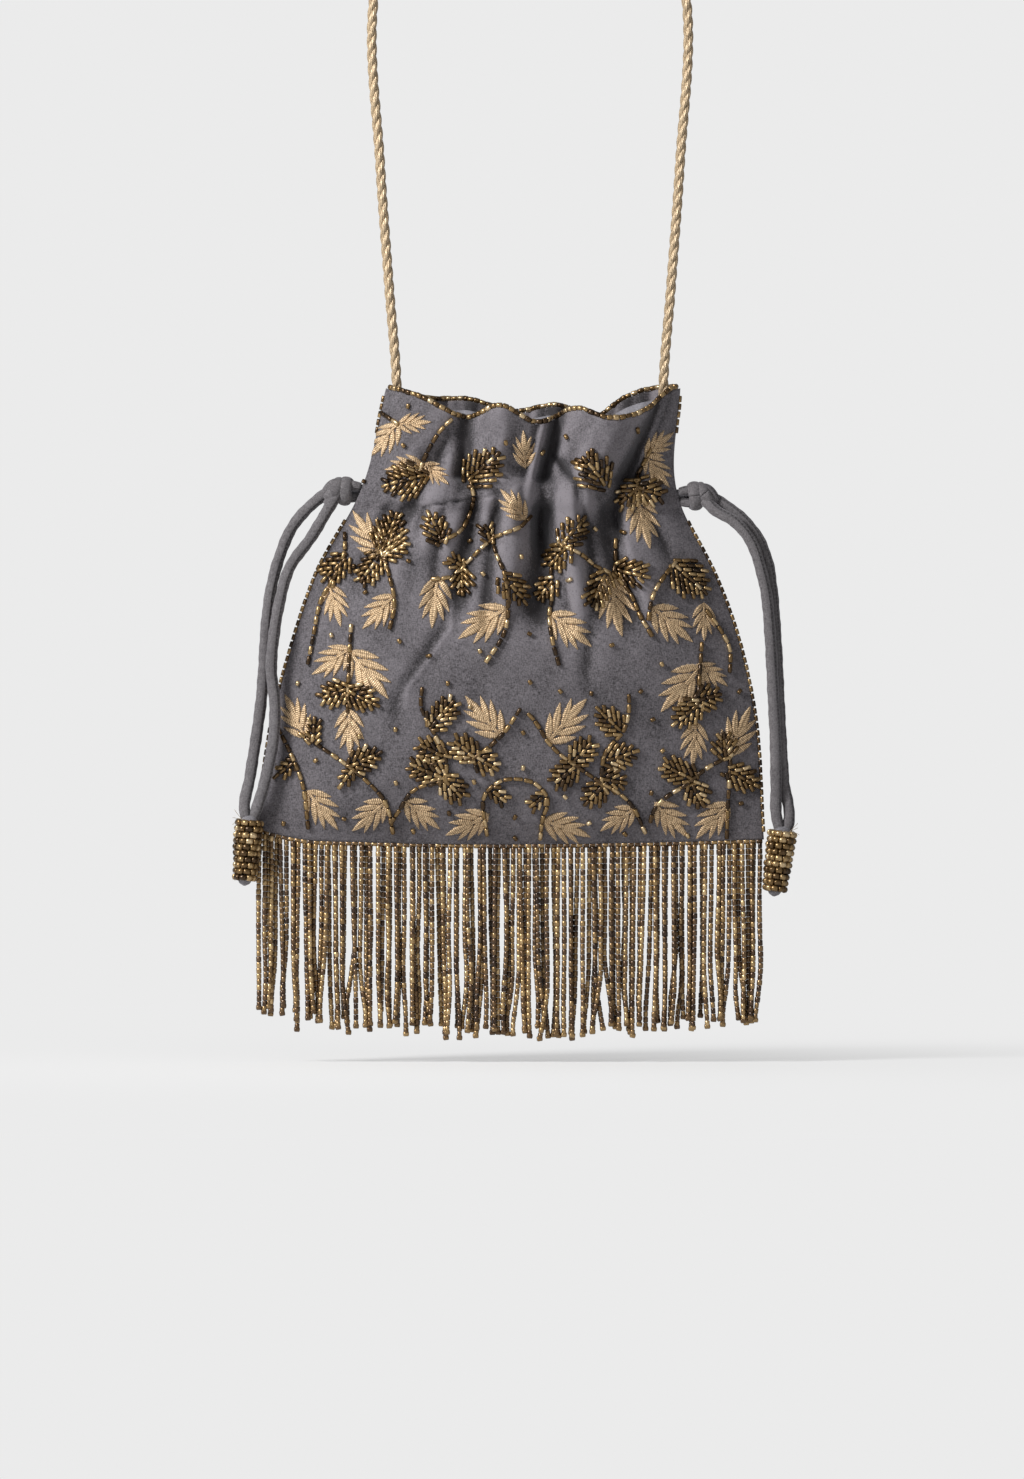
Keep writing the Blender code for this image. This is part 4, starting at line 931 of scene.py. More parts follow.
@dataclass
class Pouch:
    """The pouch's two gathered faces of cloth and the lining that shows in its mouth."""

    form: PouchForm
    cells: tuple[int, int] = (210, 176)
    back_cells: tuple[int, int] = (150, 130)
    flat: tuple[float, float] = (0.214, 0.192)
    area: float = 0.0352
    lining_flat: tuple[float, float] = (0.400, 0.184)
    lining_area: float = 0.064
    lining: float = 0.0005
    clearance: float = 0.0003
    slack: float = 0.0010
    lining_span: float = 0.940
    lining_foot: float = 0.008
    pinch: float = 0.065
    flare: float = 0.045
    channel_height: float = 0.0110
    channel_room: float = 0.0050
    top_drop: float = 0.0010
    softening: int = 90
    hollow_depth: float = 0.0013

    def face(self, side: Side, columns: int, rows: int) -> Piece:
        """One face of the pouch: an outer and an inner grid of points, joined round their border.

        Args:
            side: the face of the pouch.
            columns: the grid's cells from seam to seam.
            rows: its cells from base to rim.

        Returns:
            The mesh object.
        """
        across, share = np.meshgrid(np.linspace(-1, 1, columns + 1), np.linspace(0, 1, rows + 1))
        outer = self.form.point(across, share, side)
        inner = self.form.point(across, share, side, self.form.cloth)
        points = np.concatenate([outer.reshape(-1, 3), inner.reshape(-1, 3)])
        high, wide = across.shape
        number = np.arange(high * wide).reshape(high, wide)
        loop = np.concatenate([number[0, :-1], number[:-1, -1], number[-1, :0:-1], number[:0:-1, 0]])
        mate = np.roll(loop, -1)
        border = np.stack([mate, loop, loop + high * wide, mate + high * wide], axis=1)
        front = side is Side.FRONT
        faces = [grid_faces(high, wide, flip=not front),
                 grid_faces(high, wide, start=high * wide, flip=front),
                 border if front else border[:, ::-1]]
        # The hollow values drive the cloth's painted shade in the fold valleys and painted light on the
        # ridges.
        hollow = self.hollows(self.form.folds(across, share, side)).ravel()
        return new_mesh(f"{side.name.lower()}_cloth", points, faces, traits={"hollow": np.tile(hollow, 2)})

    def hollows(self, pushed: Array) -> Array:
        """How hollow the folds are at each point: their spread-out height less their own, from -1 to 1.

        Args:
            pushed: the folds' push on the grid of points.

        Returns:
            A number for each point, above nothing in a valley and below it on a ridge.
        """
        soft = pushed
        for _ in range(self.softening):
            wide = np.pad(soft, 1, mode="edge")
            soft = (wide[:-2, 1:-1] + wide[2:, 1:-1] + wide[1:-1, :-2] + wide[1:-1, 2:]) / 4
        return np.clip((soft - pushed) / self.hollow_depth, -1, 1)

    def ring(self, share: Array, inset: float, count: int) -> Array:
        """The lining's levels: along the front from left to right, then back along the rear.

        Args:
            share: the shares of the height, one for each level.
            inset: how far behind the lining's outer face.
            count: the points along one face.

        Returns:
            Rows of points, one for each level.
        """
        share = share[:, None]
        channel = np.exp(-((share * self.form.tall - self.form.casing) / self.channel_height) ** 4)
        mouth = np.clip((share - 0.85) / 0.15, 0, 1)
        limit = self.lining_span - self.pinch * channel + self.flare * mouth - inset * 9
        across = limit * np.linspace(-1, 1, count)[None, :]
        room = self.form.cloth + self.clearance + self.slack + inset + channel * self.channel_room
        least = self.form.seam_gap + self.lining - inset * 0.8
        halves = []
        for side, order in ((Side.FRONT, across), (Side.BACK, across[:, ::-1])):
            line = self.form.point(order, share, side, room)
            line[..., 1] = side.value * np.maximum(side.value * line[..., 1], least)
            halves.append(line)
        return np.concatenate(halves, axis=1)

    def lining_bag(self, levels: int = 56, count: int = 110) -> Piece:
        """The lining: an outer and an inner wall of rings, joined at the mouth and closed along the bottom.

        Args:
            levels: how many rings.
            count: the points along one face of a ring.

        Returns:
            The mesh object.
        """
        top = 1 - self.top_drop / (self.form.tall - self.form.casing)
        shares = np.linspace(self.lining_foot / self.form.tall, top, levels)
        outer, inner = self.ring(shares, 0.0, count), self.ring(shares, self.lining, count)
        inner[0, :, 2] += self.lining
        around = 2 * count
        total = levels * around
        points = np.concatenate([outer.reshape(-1, 3), inner.reshape(-1, 3)])
        rim = (levels - 1) * around + np.arange(around)
        after = np.roll(rim, -1)
        lip = np.stack([rim, after, after + total, rim + total], axis=1)
        spot = np.arange(count - 1)
        mate = around - 1 - spot
        bottom = np.stack([spot, mate, mate - 1, spot + 1], axis=1)
        walls = [grid_faces(levels, around, True), grid_faces(levels, around, True, total, flip=True)]
        return new_mesh("lining_bag", points, [*walls, lip, bottom, bottom[:, ::-1] + total])

    def build(self, finishes: Materials) -> None:
        """Builds and dresses the cloth faces and the lining.

        Args:
            finishes: the materials.
        """
        front = self.face(Side.FRONT, *self.cells)
        back = self.face(Side.BACK, *self.back_cells)
        lining = self.lining_bag()
        settle(front, "bag", "cloth", finishes["cloth"], "front_panel")
        settle(back, "bag", "cloth", finishes["cloth"], "back_panel")
        settle(lining, "bag", "lining", finishes["lining"], "lining")


def chart(spots: Array) -> tuple[Array, Array]:
    """The places across and the heights of chart spots, in metres."""
    spots = np.asarray(spots, float)
    return (spots[..., 0] - CHART_MIDDLE) * CHART_STEP, (CHART_BASE - spots[..., 1]) * CHART_STEP + BASE_Z


# The embroidery, spray by spray: bead stems, beaded leaves and stitched leaves, each from base to tip
SPRAYS: dict[str, dict[str, tuple]] = {
    "collar_leaf_pair": {
        "stems": (((381, 410), (400, 423)),),
        "stitched": (((397, 423), (432, 421)), ((400, 421), (369, 455))),
    },
    "collar_spray_left": {
        "stems": (((452, 417), (440, 429), (432, 442), (425, 456), (419, 470)),),
        "beaded": (((430, 474), (377, 486)),),
        "stitched": (((424, 462), (384, 468)), ((423, 461), (449, 484))),
    },
    "hub_spray_left": {
        "stems": (((381, 548), (390, 574), (395, 603), (390, 629)),),
        "beaded": (((379, 556), (413, 534)), ((382, 556), (400, 503)), ((384, 550), (356, 589))),
        "stitched": (((384, 556), (352, 508)), ((396, 593), (362, 628))),
    },
    "hanging_stem": {
        "stems": (((471, 478), (474, 496), (468, 513), (460, 529), (440, 542)),),
        "beaded": (((465, 485), (505, 446)), ((444, 545), (426, 505))),
    },
    "centre_spray": {
        "stems": (((530, 514), (520, 526), (507, 532), (490, 540), (469, 561), (450, 576), (430, 578)),
                  ((494, 536), (497, 552), (504, 570), (507, 590), (505, 630), (485, 662))),
        "beaded": (((490, 542), (482, 512)), ((464, 567), (438, 551)), ((461, 566), (465, 604)),
                   ((501, 574), (530, 608))),
        "stitched": (((526, 520), (500, 488)), ((438, 574), (432, 628)), ((509, 606), (458, 638))),
    },
    "cup_spray": {
        "stems": (((552, 585), (553, 597), (550, 611), (551, 633), (559, 665)),),
        "beaded": (((556, 577), (531, 606)),),
        "stitched": (((548, 612), (592, 646)),),
    },
    "scoop_leaf": {"beaded": (((606, 488), (576, 446)),)},
    "hub_spray_right": {
        "stems": (((560, 543), (580, 554), (591, 563), (604, 570), (627, 586), (643, 620), (652, 636)),
                  ((612, 572), (616, 556), (616, 537))),
        "beaded": (((562, 546), (588, 510)), ((570, 544), (542, 574)), ((606, 570), (587, 612)),
                   ((612, 566), (656, 579))),
        "stitched": (((608, 572), (622, 636)),),
    },
    "collar_spray_right": {
        "stems": (((636, 500), (640, 470), (650, 446)),),
        "beaded": (((632, 484), (672, 498)), ((643, 482), (611, 510))),
        "stitched": (((636, 494), (650, 548)), ((645, 452), (670, 486)), ((644, 455), (674, 430))),
    },
    "side_spray_right": {
        "stems": (((676, 560), (659, 581), (652, 594), (648, 620)),
                  ((705, 608), (720, 629), (729, 647), (729, 672))),
        "beaded": (((670, 561), (713, 599)),),
        "stitched": (((650, 605), (693, 641)), ((704, 600), (704, 640))),
    },
    "side_spray_left": {
        "stems": (((345, 530), (345, 551), (335, 576), (323, 595), (314, 634), (308, 664)),),
        "beaded": (((350, 554), (317, 585)),),
        "stitched": (((329, 581), (341, 626)),),
    },
    "cross_motif_left": {
        "stems": (((352, 622), (350, 655), (348, 712)),),
        "beaded": (((351, 686), (313, 701)), ((346, 688), (385, 708))),
        "stitched": (((353, 646), (311, 673)), ((348, 648), (389, 698)), ((349, 705), (350, 756))),
    },
    "cross_motif_right": {
        "stems": (((701, 640), (699, 670), (696, 718)),),
        "beaded": (((701, 700), (667, 728)), ((693, 700), (729, 690))),
        "stitched": (((702, 663), (660, 711)), ((696, 662), (728, 685)), ((696, 719), (692, 766))),
    },
    "garland_left": {
        "stems": (((277, 725), (289, 748), (302, 780), (308, 828)),),
        "beaded": (((296, 760), (270, 779)),),
        "stitched": (((306, 788), (338, 829)),),
    },
    "garland_arc_left": {
        "stems": (((298, 731), (325, 748), (362, 775), (386, 801), (393, 832)),
                  ((390, 822), (400, 807), (411, 790), (427, 782), (446, 775)),
                  ((446, 782), (446, 757), (434, 731), (421, 703), (423, 685)),
                  ((443, 753), (471, 757), (488, 746), (501, 734), (521, 706))),
        "beaded": (((313, 744), (316, 711)), ((348, 766), (388, 747)), ((356, 764), (336, 790)),
                   ((446, 777), (401, 758)), ((441, 774), (470, 803)),
                   ((447, 756), (409, 738)), ((429, 728), (460, 693)), ((478, 758), (446, 732)),
                   ((474, 753), (506, 773))),
        "stitched": (((306, 738), (284, 692)), ((388, 798), (351, 830)), ((404, 798), (440, 828)),
                     ((503, 737), (465, 694))),
    },
    "garland_centre_right": {
        "stems": (((527, 711), (536, 721), (546, 738), (559, 752), (573, 762), (600, 780), (614, 788),
                   (629, 800), (646, 832)),
                  ((601, 784), (605, 750), (623, 729), (628, 711), (628, 692))),
        "beaded": (((570, 762), (600, 733)), ((578, 762), (545, 788)), ((623, 732), (591, 702)),
                   ((602, 760), (643, 747)), ((598, 776), (636, 783)), ((604, 782), (577, 810))),
        "stitched": (((546, 742), (587, 697)), ((636, 806), (600, 830))),
    },
    "base_arch": {
        "stems": (((487, 834), (486, 790), (500, 779), (518, 777), (536, 782), (548, 800), (543, 814),
                   (540, 838)),),
        "beaded": (((491, 787), (515, 807)), ((545, 793), (521, 811))),
        "stitched": (((490, 812), (445, 834)), ((542, 818), (591, 836))),
    },
    "garland_right": {
        "stems": (((650, 821), (654, 807), (666, 795), (684, 784), (700, 771), (714, 762), (731, 755)),
                  ((730, 757), (728, 800), (727, 838))),
        "beaded": (((697, 780), (656, 759)), ((690, 780), (709, 814)), ((725, 759), (722, 720)),
                   ((726, 768), (766, 789))),
        "stitched": (((654, 800), (689, 837)), ((727, 756), (751, 704)), ((730, 800), (696, 838))),
    },
}
# A leaflet's section: places across it, over the top from edge to edge and back under it, and how many on top
LEAFLET_ACROSS = (-1.0, -0.72, -0.40, -0.12, 0.12, 0.40, 0.72, 1.0, 0.35, -0.35)
LEAFLET_TOP = 8
LOOSE_LEAF = ((525, 468), (523, 429))
LOOSE_BEADS = (
    (409, 405), (404, 444), (361, 480), (471, 540), (567, 436), (636, 429), (505, 442), (541, 451),
    (594, 528), (624, 531), (520, 556), (570, 579), (409, 560), (483, 573), (366, 591), (354, 565),
    (400, 640), (332, 634), (298, 682), (448, 682), (529, 633), (530, 681), (661, 663), (591, 692),
    (611, 644), (739, 690), (396, 728), (316, 759), (396, 781), (344, 817), (413, 829), (449, 811),
    (474, 780), (283, 822), (515, 815), (523, 731), (523, 766), (652, 718), (662, 749), (651, 791),
    (565, 795), (741, 802), (741, 783), (722, 773), (589, 821), (625, 832), (688, 834), (515, 836),
    (430, 655), (470, 705), (560, 690), (640, 690), (360, 735), (480, 650))


@dataclass
class Embroidery:
    """Leaf sprays sewn on the cloth: leaves and stems of tube beads, and leaves of gold thread."""

    form: PouchForm
    side: Side = Side.FRONT
    bead: BeadShape = BeadShape()
    bead_length: float = 0.0035
    bead_radius: float = 0.00092
    bead_lift: float = 0.00086
    row_step: float = 0.00282
    row_slant: float = 0.74
    row_start: float = 0.0011
    row_gap: float = 0.00010
    middle_run: tuple[float, float] = (0.10, 0.93)
    rows_run: tuple[float, float] = (0.02, 0.84)
    leaf_fullness: float = 0.40
    stem_length: float = 0.0037
    stem_gap: float = 0.00055
    stem_radius: float = 0.00096
    stem_tints: tuple[float, float] = (0.05, 0.95)
    single_half: float = 0.00100
    single_lift: float = 0.00085
    leaflet_height: float = 0.00092
    leaflet_rings: int = 16
    seed: int = 11

    def beaded_leaf(self, batch: Batch, base: tuple, tip: tuple, chance: np.random.Generator) -> None:
        """A leaf of beads: a middle row, and slanted rows on both sides out to a pointed oval outline.

        The outline's half width is its fullness times the sine of the share along, to a soft power.

        Args:
            batch: where the beads go.
            base: the leaf's foot on the chart.
            tip: its tip on the chart.
            chance: the seeded source of the beads' small differences.
        """
        start = np.stack(chart(np.array(base)))
        way = np.stack(chart(np.array(tip))) - start
        length = np.linalg.norm(way)
        way = way / length
        beside = np.array([-way[1], way[0]])
        width = self.leaf_fullness * length
        first, last = [], []
        low, high = self.middle_run
        middle = np.arange(low * length, high * length, self.bead_length * 1.06)
        first += [(spot, 0.0) for spot in middle[:-1]]
        last += [(spot + self.bead_length * 0.96, 0.0) for spot in middle[:-1]]
        for half in (-1, 1):
            for foot in np.arange(self.rows_run[0] * length, self.rows_run[1] * length, self.row_step):
                slant = self.row_slant * (1 - 0.35 * foot / length)
                step = np.array([math.cos(slant), half * math.sin(slant)])
                place = np.array([foot, half * self.row_start])
                for _ in range(4):
                    end = place + step * self.bead_length
                    share = end[0] / length
                    outline = width * max(0.0, math.sin(math.pi * min(share, 1.0) ** 0.85)) ** 0.7
                    if share > 1.05 or abs(end[1]) > outline:
                        break
                    first.append(tuple(place))
                    last.append(tuple(place + step * self.bead_length * 0.95))
                    place = end + step * self.row_gap
        first, last = np.array(first), np.array(last)
        middles, half_run = (first + last) / 2, (last - first) / 2
        turn = chance.normal(0, 0.06, len(middles))
        turned = np.stack([half_run[:, 0] * np.cos(turn) - half_run[:, 1] * np.sin(turn),
                           half_run[:, 0] * np.sin(turn) + half_run[:, 1] * np.cos(turn)], axis=1)
        middles = middles + chance.normal(0, 0.00010, middles.shape)
        ends = []
        for flat in (middles - turned, middles + turned):
            spot = start + flat[:, :1] * way + flat[:, 1:] * beside
            ends.append(self.form.seat(spot[:, 0], spot[:, 1], self.side, self.bead_lift))
        lift = np.abs(chance.normal(0, 0.00008, len(middles)))[:, None] * ends[0][1]
        radii = self.bead_radius * (1 + 0.07 * chance.standard_normal(len(middles)).clip(-2, 2))
        tint = np.clip(chance.beta(2.2, 2.0, len(middles)), 0, 1)
        self.bead.beads(batch, ends[0][0] + lift, ends[1][0] + lift, ends[0][1], radii, tint)

    def stem(self, batch: Batch, route: Route, chance: np.random.Generator) -> None:
        """A stem: tube beads strung end to end along a route on the chart.

        Args:
            batch: where the beads go.
            route: the route's points on the chart.
            chance: the seeded source of the beads' small differences.
        """
        x, z = chart(resample(route, 1.5))
        line, out = self.form.seat(x, z, self.side, self.stem_radius * 0.95)
        self.bead.string(batch, line, out, self.stem_length, self.stem_gap, self.stem_radius, chance,
                         *self.stem_tints)

    def leaflets(self, base: tuple, tip: tuple) -> list[tuple[Array, Array, float]]:
        """The pointed leaflets of a stitched leaf: a tip, a middle and three pairs that lean forward.

        Args:
            base: the leaf's foot on the chart.
            tip: its tip on the chart.

        Returns:
            Each leaflet's foot, point and width as a share of its length.
        """
        start, end = (np.stack(chart(np.array(spot))) for spot in (base, tip))
        way = end - start
        beside = np.array([-way[1], way[0]])
        found = [(start + way * 0.42, end, 0.28), (start, start + way * 0.62, 0.13)]
        for half in (-1, 1):
            found.append((start + way * 0.36, start + way * 0.83 + beside * half * 0.20, 0.24))
            found.append((start + way * 0.20, start + way * 0.66 + beside * half * 0.29, 0.25))
            found.append((start + way * 0.03, start + way * 0.42 + beside * half * 0.30, 0.28))
        return found

    def stitched_leaf(self, batch: Batch, base: tuple, tip: tuple, chance: np.random.Generator) -> None:
        """A stitched leaf: all of its leaflets, one after another."""
        for foot, point, fullness in self.leaflets(base, tip):
            self.leaflet(batch, foot, point, fullness, chance)

    def leaflet(self, batch: Batch, foot: Array, point: Array, fullness: float,
                chance: np.random.Generator) -> None:
        """One satin-stitched leaflet: a pointed lens, high along both halves, with a groove for its vein.

        Its half width is its fullness times the sine of the share along; its height is the sine's root times
        one minus the place across squared, less a narrow groove in the middle.

        Args:
            batch: where it goes.
            foot: where it starts, in metres.
            point: its tip.
            fullness: its width as a share of its length.
            chance: the seeded source of small differences.
        """
        way = point - foot
        length = np.linalg.norm(way)
        beside = np.array([-way[1], way[0]]) / length
        share = np.linspace(0.015, 0.985, self.leaflet_rings)[:, None]
        bend = 0.06 * chance.standard_normal()
        swell = np.sin(math.pi * share ** 0.86) ** 0.90
        ragged = 1 + 0.10 * np.sin(np.arange(self.leaflet_rings) * 2.3)[:, None] * (share > 0.1)
        across = np.array(LEAFLET_ACROSS)[None, :]
        top = (np.arange(len(LEAFLET_ACROSS)) < LEAFLET_TOP)[None, :]
        reach = across * swell * ragged * fullness * length / 2 + bend * length * share * (1 - share)
        flat = foot + share[..., None] * way + reach[..., None] * beside
        groove = 0.60 * np.exp(-(across / 0.20) ** 2)
        lift = self.leaflet_height * swell ** 0.5 * (1 - np.abs(across) ** 2.4) * (1 - groove) + 0.00006
        ridge = 0.00008 * np.sin(share * length / 0.00062 * 2 * math.pi - np.abs(across) * 2.6)
        lift = np.where(top, lift + ridge * (1 - across ** 4), -0.00025)
        points, _ = self.form.seat(flat[..., 0], flat[..., 1], self.side, lift)
        rings = points if self.side is Side.FRONT else points[:, ::-1]
        line = rings.mean(axis=1)
        line[0], line[-1] = rings[0].mean(axis=0), rings[-1].mean(axis=0)
        found, faces, uv = Tube(len(LEAFLET_ACROSS)).closed(rings, line)
        batch.add(found, faces, uv, np.full(len(found), chance.random()))

    def build(self, finishes: Materials) -> None:
        """Sews every spray, the loose leaf and the single beads.

        Args:
            finishes: the materials.
        """
        chance = np.random.default_rng(self.seed)
        for name, parts in SPRAYS.items():
            beads, threads = Batch(), Batch()
            for route in parts.get("stems", ()):
                self.stem(beads, route, chance)
            for base, tip in parts.get("beaded", ()):
                self.beaded_leaf(beads, base, tip, chance)
            for base, tip in parts.get("stitched", ()):
                self.stitched_leaf(threads, base, tip, chance)
            settle(beads.piece(f"{name}_beads"), "bag", "bronze_beads", finishes["bronze"], name)
            if threads.total:
                settle(threads.piece(f"{name}_thread"), "bag", "gold_rope", finishes["stitches"], name)
        loose = Batch()
        self.stitched_leaf(loose, *LOOSE_LEAF, chance)
        settle(loose.piece("loose_leaf_thread"), "bag", "gold_rope", finishes["stitches"])
        self.single_beads(finishes, chance)

    def single_beads(self, finishes: Materials, chance: np.random.Generator) -> None:
        """Scatters the single beads: each lies its own way on the cloth.

        Args:
            finishes: the materials.
            chance: the seeded source of the beads' directions and tints.
        """
        x, z = chart(np.array(LOOSE_BEADS))
        turn = chance.uniform(0.2, math.pi - 0.2, len(x))
        ends = []
        for half in (-1, 1):
            spot_x = x + half * self.single_half * np.cos(turn)
            spot_z = z + half * self.single_half * np.sin(turn)
            ends.append(self.form.seat(spot_x, spot_z, self.side, self.single_lift))
        batch = Batch()
        tint = chance.uniform(0.25, 1.0, len(x))
        self.bead.beads(batch, ends[0][0], ends[1][0], ends[0][1], self.bead_radius, tint)
        settle(batch.piece("single_beads"), "bag", "bronze_beads", finishes["bronze"])


@dataclass
class Edging:
    """The rows of beads sewn along the rims and the side seams."""

    form: PouchForm
    bead: BeadShape = BeadShape(8)
    rim_length: float = 0.0026
    rim_radius: float = 0.00112
    rim_span: float = 0.975
    rim_gap: float = 0.0002
    rim_out: float = 0.0002
    seam_length: float = 0.0025
    seam_gap: float = 0.0006
    seam_radius: float = 0.00080
    seam_runs: Stations = ((0.015, 0.71), (0.90, 0.985))
    seed: int = 23

    def rim(self, side: Side, chance: np.random.Generator) -> Piece:
        """Beads end to end along one rim.

        Args:
            side: the face whose rim it is.
            chance: the seeded source of the beads' small differences.

        Returns:
            The mesh object.
        """
        across = np.linspace(-self.rim_span, self.rim_span, 240)
        line = self.form.point(across, 1.0, side, self.form.cloth / 2)
        line[:, 1] += side.value * self.rim_out
        line[:, 2] += self.rim_radius * 0.9 + 0.00015 * np.sin(across * 61)
        batch = Batch()
        out = np.broadcast_to([0.0, 0.3 * side.value, 1.0], line.shape)
        self.bead.string(batch, line, out, self.rim_length, self.rim_gap, self.rim_radius, chance, 0.10, 1.0)
        return batch.piece(f"{side.name.lower()}_rim_tube_beads")

    def seam(self, hand: Hand, chance: np.random.Generator) -> Piece:
        """Spaced beads down one side seam, and a few on the collar's corner above the casing.

        Args:
            hand: the seam's side.
            chance: the seeded source of the beads' small differences.

        Returns:
            The mesh object.
        """
        batch = Batch()
        for low, high in self.seam_runs:
            share = np.linspace(low, high, 160)
            line = self.form.point(hand.value, share, Side.FRONT)
            line[:, 0] += hand.value * self.seam_radius * 0.15
            line[:, 1] = -self.seam_radius * 1.1
            out = np.broadcast_to([float(hand.value), -1.0, 0.0], line.shape)
            self.bead.string(batch, line, out, self.seam_length, self.seam_gap, self.seam_radius, chance,
                             0.0, 0.75)
        return batch.piece(f"{hand.name.lower()}_seam_tube_beads")

    def build(self, finishes: Materials) -> None:
        """Builds and dresses the rows on both rims and both side seams.

        Args:
            finishes: the materials.
        """
        chance = np.random.default_rng(self.seed)
        for side in Side:
            row = self.rim(side, chance)
            settle(row, "bag", "bronze_beads", finishes["bronze"], f"{side.name.lower()}_rim_beads")
        for hand in Hand:
            row = self.seam(hand, chance)
            settle(row, "bag", "bronze_beads", finishes["bronze"], f"{hand.name.lower()}_seam_beads")


@dataclass
class Fringe:
    """The bead fringe: strands that hang from a row of base beads under the bottom seam."""

    form: PouchForm
    strands: int = 114
    span: float = 0.985
    length: float = 0.0735
    depth: float = 0.0008
    bead: BeadShape = BeadShape(6, 0.09, 0.76)
    bead_length: float = 0.00230
    radius: float = 0.00104
    bead_gap: float = 0.00006
    header_length: float = 0.0026
    header_gap: float = 0.0001
    header_radius: float = 0.00105
    length_spread: float = 0.026
    middle_drop: float = 0.0040
    lean_spread: float = 0.0009
    kink_spread: float = 0.0015
    bow_spread: float = 0.00035
    place_spread: float = 0.0070
    sink: float = 0.0013
    seed: int = 7

    def strand(self, batch: Batch, top: Array, place: float, chance: np.random.Generator) -> None:
        """One strand: beads on a thread that hangs, with a slow bend and a kink or a flare near its end.

        Args:
            batch: where the beads go.
            top: where it starts.
            place: its share of the way across the fringe.
            chance: the seeded source of its differences.
        """
        length = self.length * (1 + self.length_spread * chance.standard_normal())
        length += self.middle_drop * math.sin(math.pi * place)
        drop = np.linspace(0, 1, 60)
        lean = chance.normal(0, self.lean_spread)
        kink = chance.normal(0, self.kink_spread)
        kink = kink * np.clip((drop - chance.uniform(0.55, 0.85)) / 0.3, 0, 1) ** 1.4
        bow = chance.normal(0, self.bow_spread)
        bow = bow * np.sin(drop * math.pi * chance.uniform(1.5, 3.5) + chance.uniform(0, 6))
        x = top[0] + lean * drop + kink + bow * np.sin(drop * math.pi / 2)
        y = top[1] + chance.normal(0, 0.0007) * drop ** 0.5 + chance.normal(0, 0.0006) * drop
        line = np.stack([x, y, top[2] - drop * length], axis=1)
        out = np.broadcast_to([0.0, -1.0, 0.0], line.shape)
        shade = chance.uniform(0.15, 0.62)
        self.bead.string(batch, line, out, self.bead_length, self.bead_gap, self.radius, chance,
                         max(0.0, shade - 0.34), min(1.0, shade + 0.42))
        end = line[-1:] + np.array([[0.0, 0.0, -0.0001]])
        side = unit(np.array([[1.0, 0.2, 0.1 * chance.standard_normal()]])) * self.bead_length / 2
        self.bead.beads(batch, end - side, end + side, np.array([[0.0, -1.0, 0.3]]), self.radius * 1.08,
                        np.array([chance.uniform(0.2, 0.8)]))

    def build(self, finishes: Materials) -> None:
        """Builds and dresses the strands and their header.

        Args:
            finishes: the materials.
        """
        chance = np.random.default_rng(self.seed)
        even = np.linspace(-self.span, self.span, self.strands)
        across = np.clip(even + chance.normal(0, self.place_spread, self.strands), -self.span, self.span)
        top = self.form.point(across, 0.0, Side.FRONT)
        top[:, 1] = self.depth * (-1.0) ** np.arange(self.strands)
        top[:, 2] -= self.sink
        batch = Batch()
        for spot in range(self.strands):
            self.strand(batch, top[spot], spot / (self.strands - 1), chance)
        settle(batch.piece("fringe_strands"), "bag", "fringe_beads", finishes["fringe"], "fringe")
        header = Batch()
        line = self.form.point(np.linspace(-0.995, 0.995, 400), 0.0, Side.FRONT)
        line[:, 1] = 0
        line[:, 2] -= self.header_radius - 0.0004
        out = np.broadcast_to([0.0, -1.0, 0.0], line.shape)
        self.bead.string(header, line, out, self.header_length, self.header_gap, self.header_radius, chance,
                         0.1, 0.75)
        settle(header.piece("fringe_header_beads"), "bag", "fringe_beads", finishes["fringe"], "fringe")


@dataclass
class Strap:
    """The rope strap: three strands of gold yarn laid together, closed in a loop over the pouch."""

    diameter: float = 0.0044
    half_span: float = 0.066
    foot: float = 0.0562
    arch: float = 0.072
    tuck: float = 0.016
    bow: Stations = ((0.25, 0.31), (0.58, 0.71))
    rim_z: float = BASE_Z + TALL
    strands: int = 3
    lead: float = 0.0177
    strand_radius: float = 0.00122
    strand_sides: int = 9
    step: float = 0.0011

    def route(self) -> Array:
        """The strap's line: up from its left tuck, over the loop at the origin and down to its right tuck.

        Returns:
            The line's own points.
        """
        spring = -self.arch
        flare, rise = self.half_span - self.foot, spring - self.rim_z
        left = [(-self.foot, 0.0, self.rim_z - self.tuck), (-self.foot, 0.0, self.rim_z)]
        left += [(-self.foot - flare * spread, 0.0, self.rim_z + rise * share) for share, spread in self.bow]
        left += [(-self.half_span, 0.0, spring)]
        turn = np.radians(np.arange(18, 163, 18))
        over = np.stack([-self.half_span * np.cos(turn), np.zeros_like(turn),
                         spring + self.arch * np.sin(turn)], axis=1)
        right = [(-x, y, z) for x, y, z in reversed(left)]
        return np.concatenate([left, over, right])

    def build(self, finishes: Materials) -> None:
        """Builds and dresses the rope: each strand is a helix round the route, a third of a turn apart.

        Args:
            finishes: the materials.
        """
        line = resample(self.route(), self.step)
        lengths = along(line)
        ahead = unit(np.gradient(line, axis=0))
        out = unit(np.cross(np.broadcast_to([0.0, 1.0, 0.0], line.shape), ahead))
        deep = np.cross(ahead, out)
        ride = self.diameter / 2 - self.strand_radius
        batch = Batch()
        for strand in range(self.strands):
            turn = 2 * math.pi * (lengths / self.lead + strand / self.strands)
            helix = line + ride * (np.cos(turn)[:, None] * out + np.sin(turn)[:, None] * deep)
            batch.carry(Tube(self.strand_sides), helix, self.strand_radius, self.strand_radius)
        rope = batch.piece("rope_strap")
        settle(rope, "bag", "gold_rope", finishes["rope"], "strap")


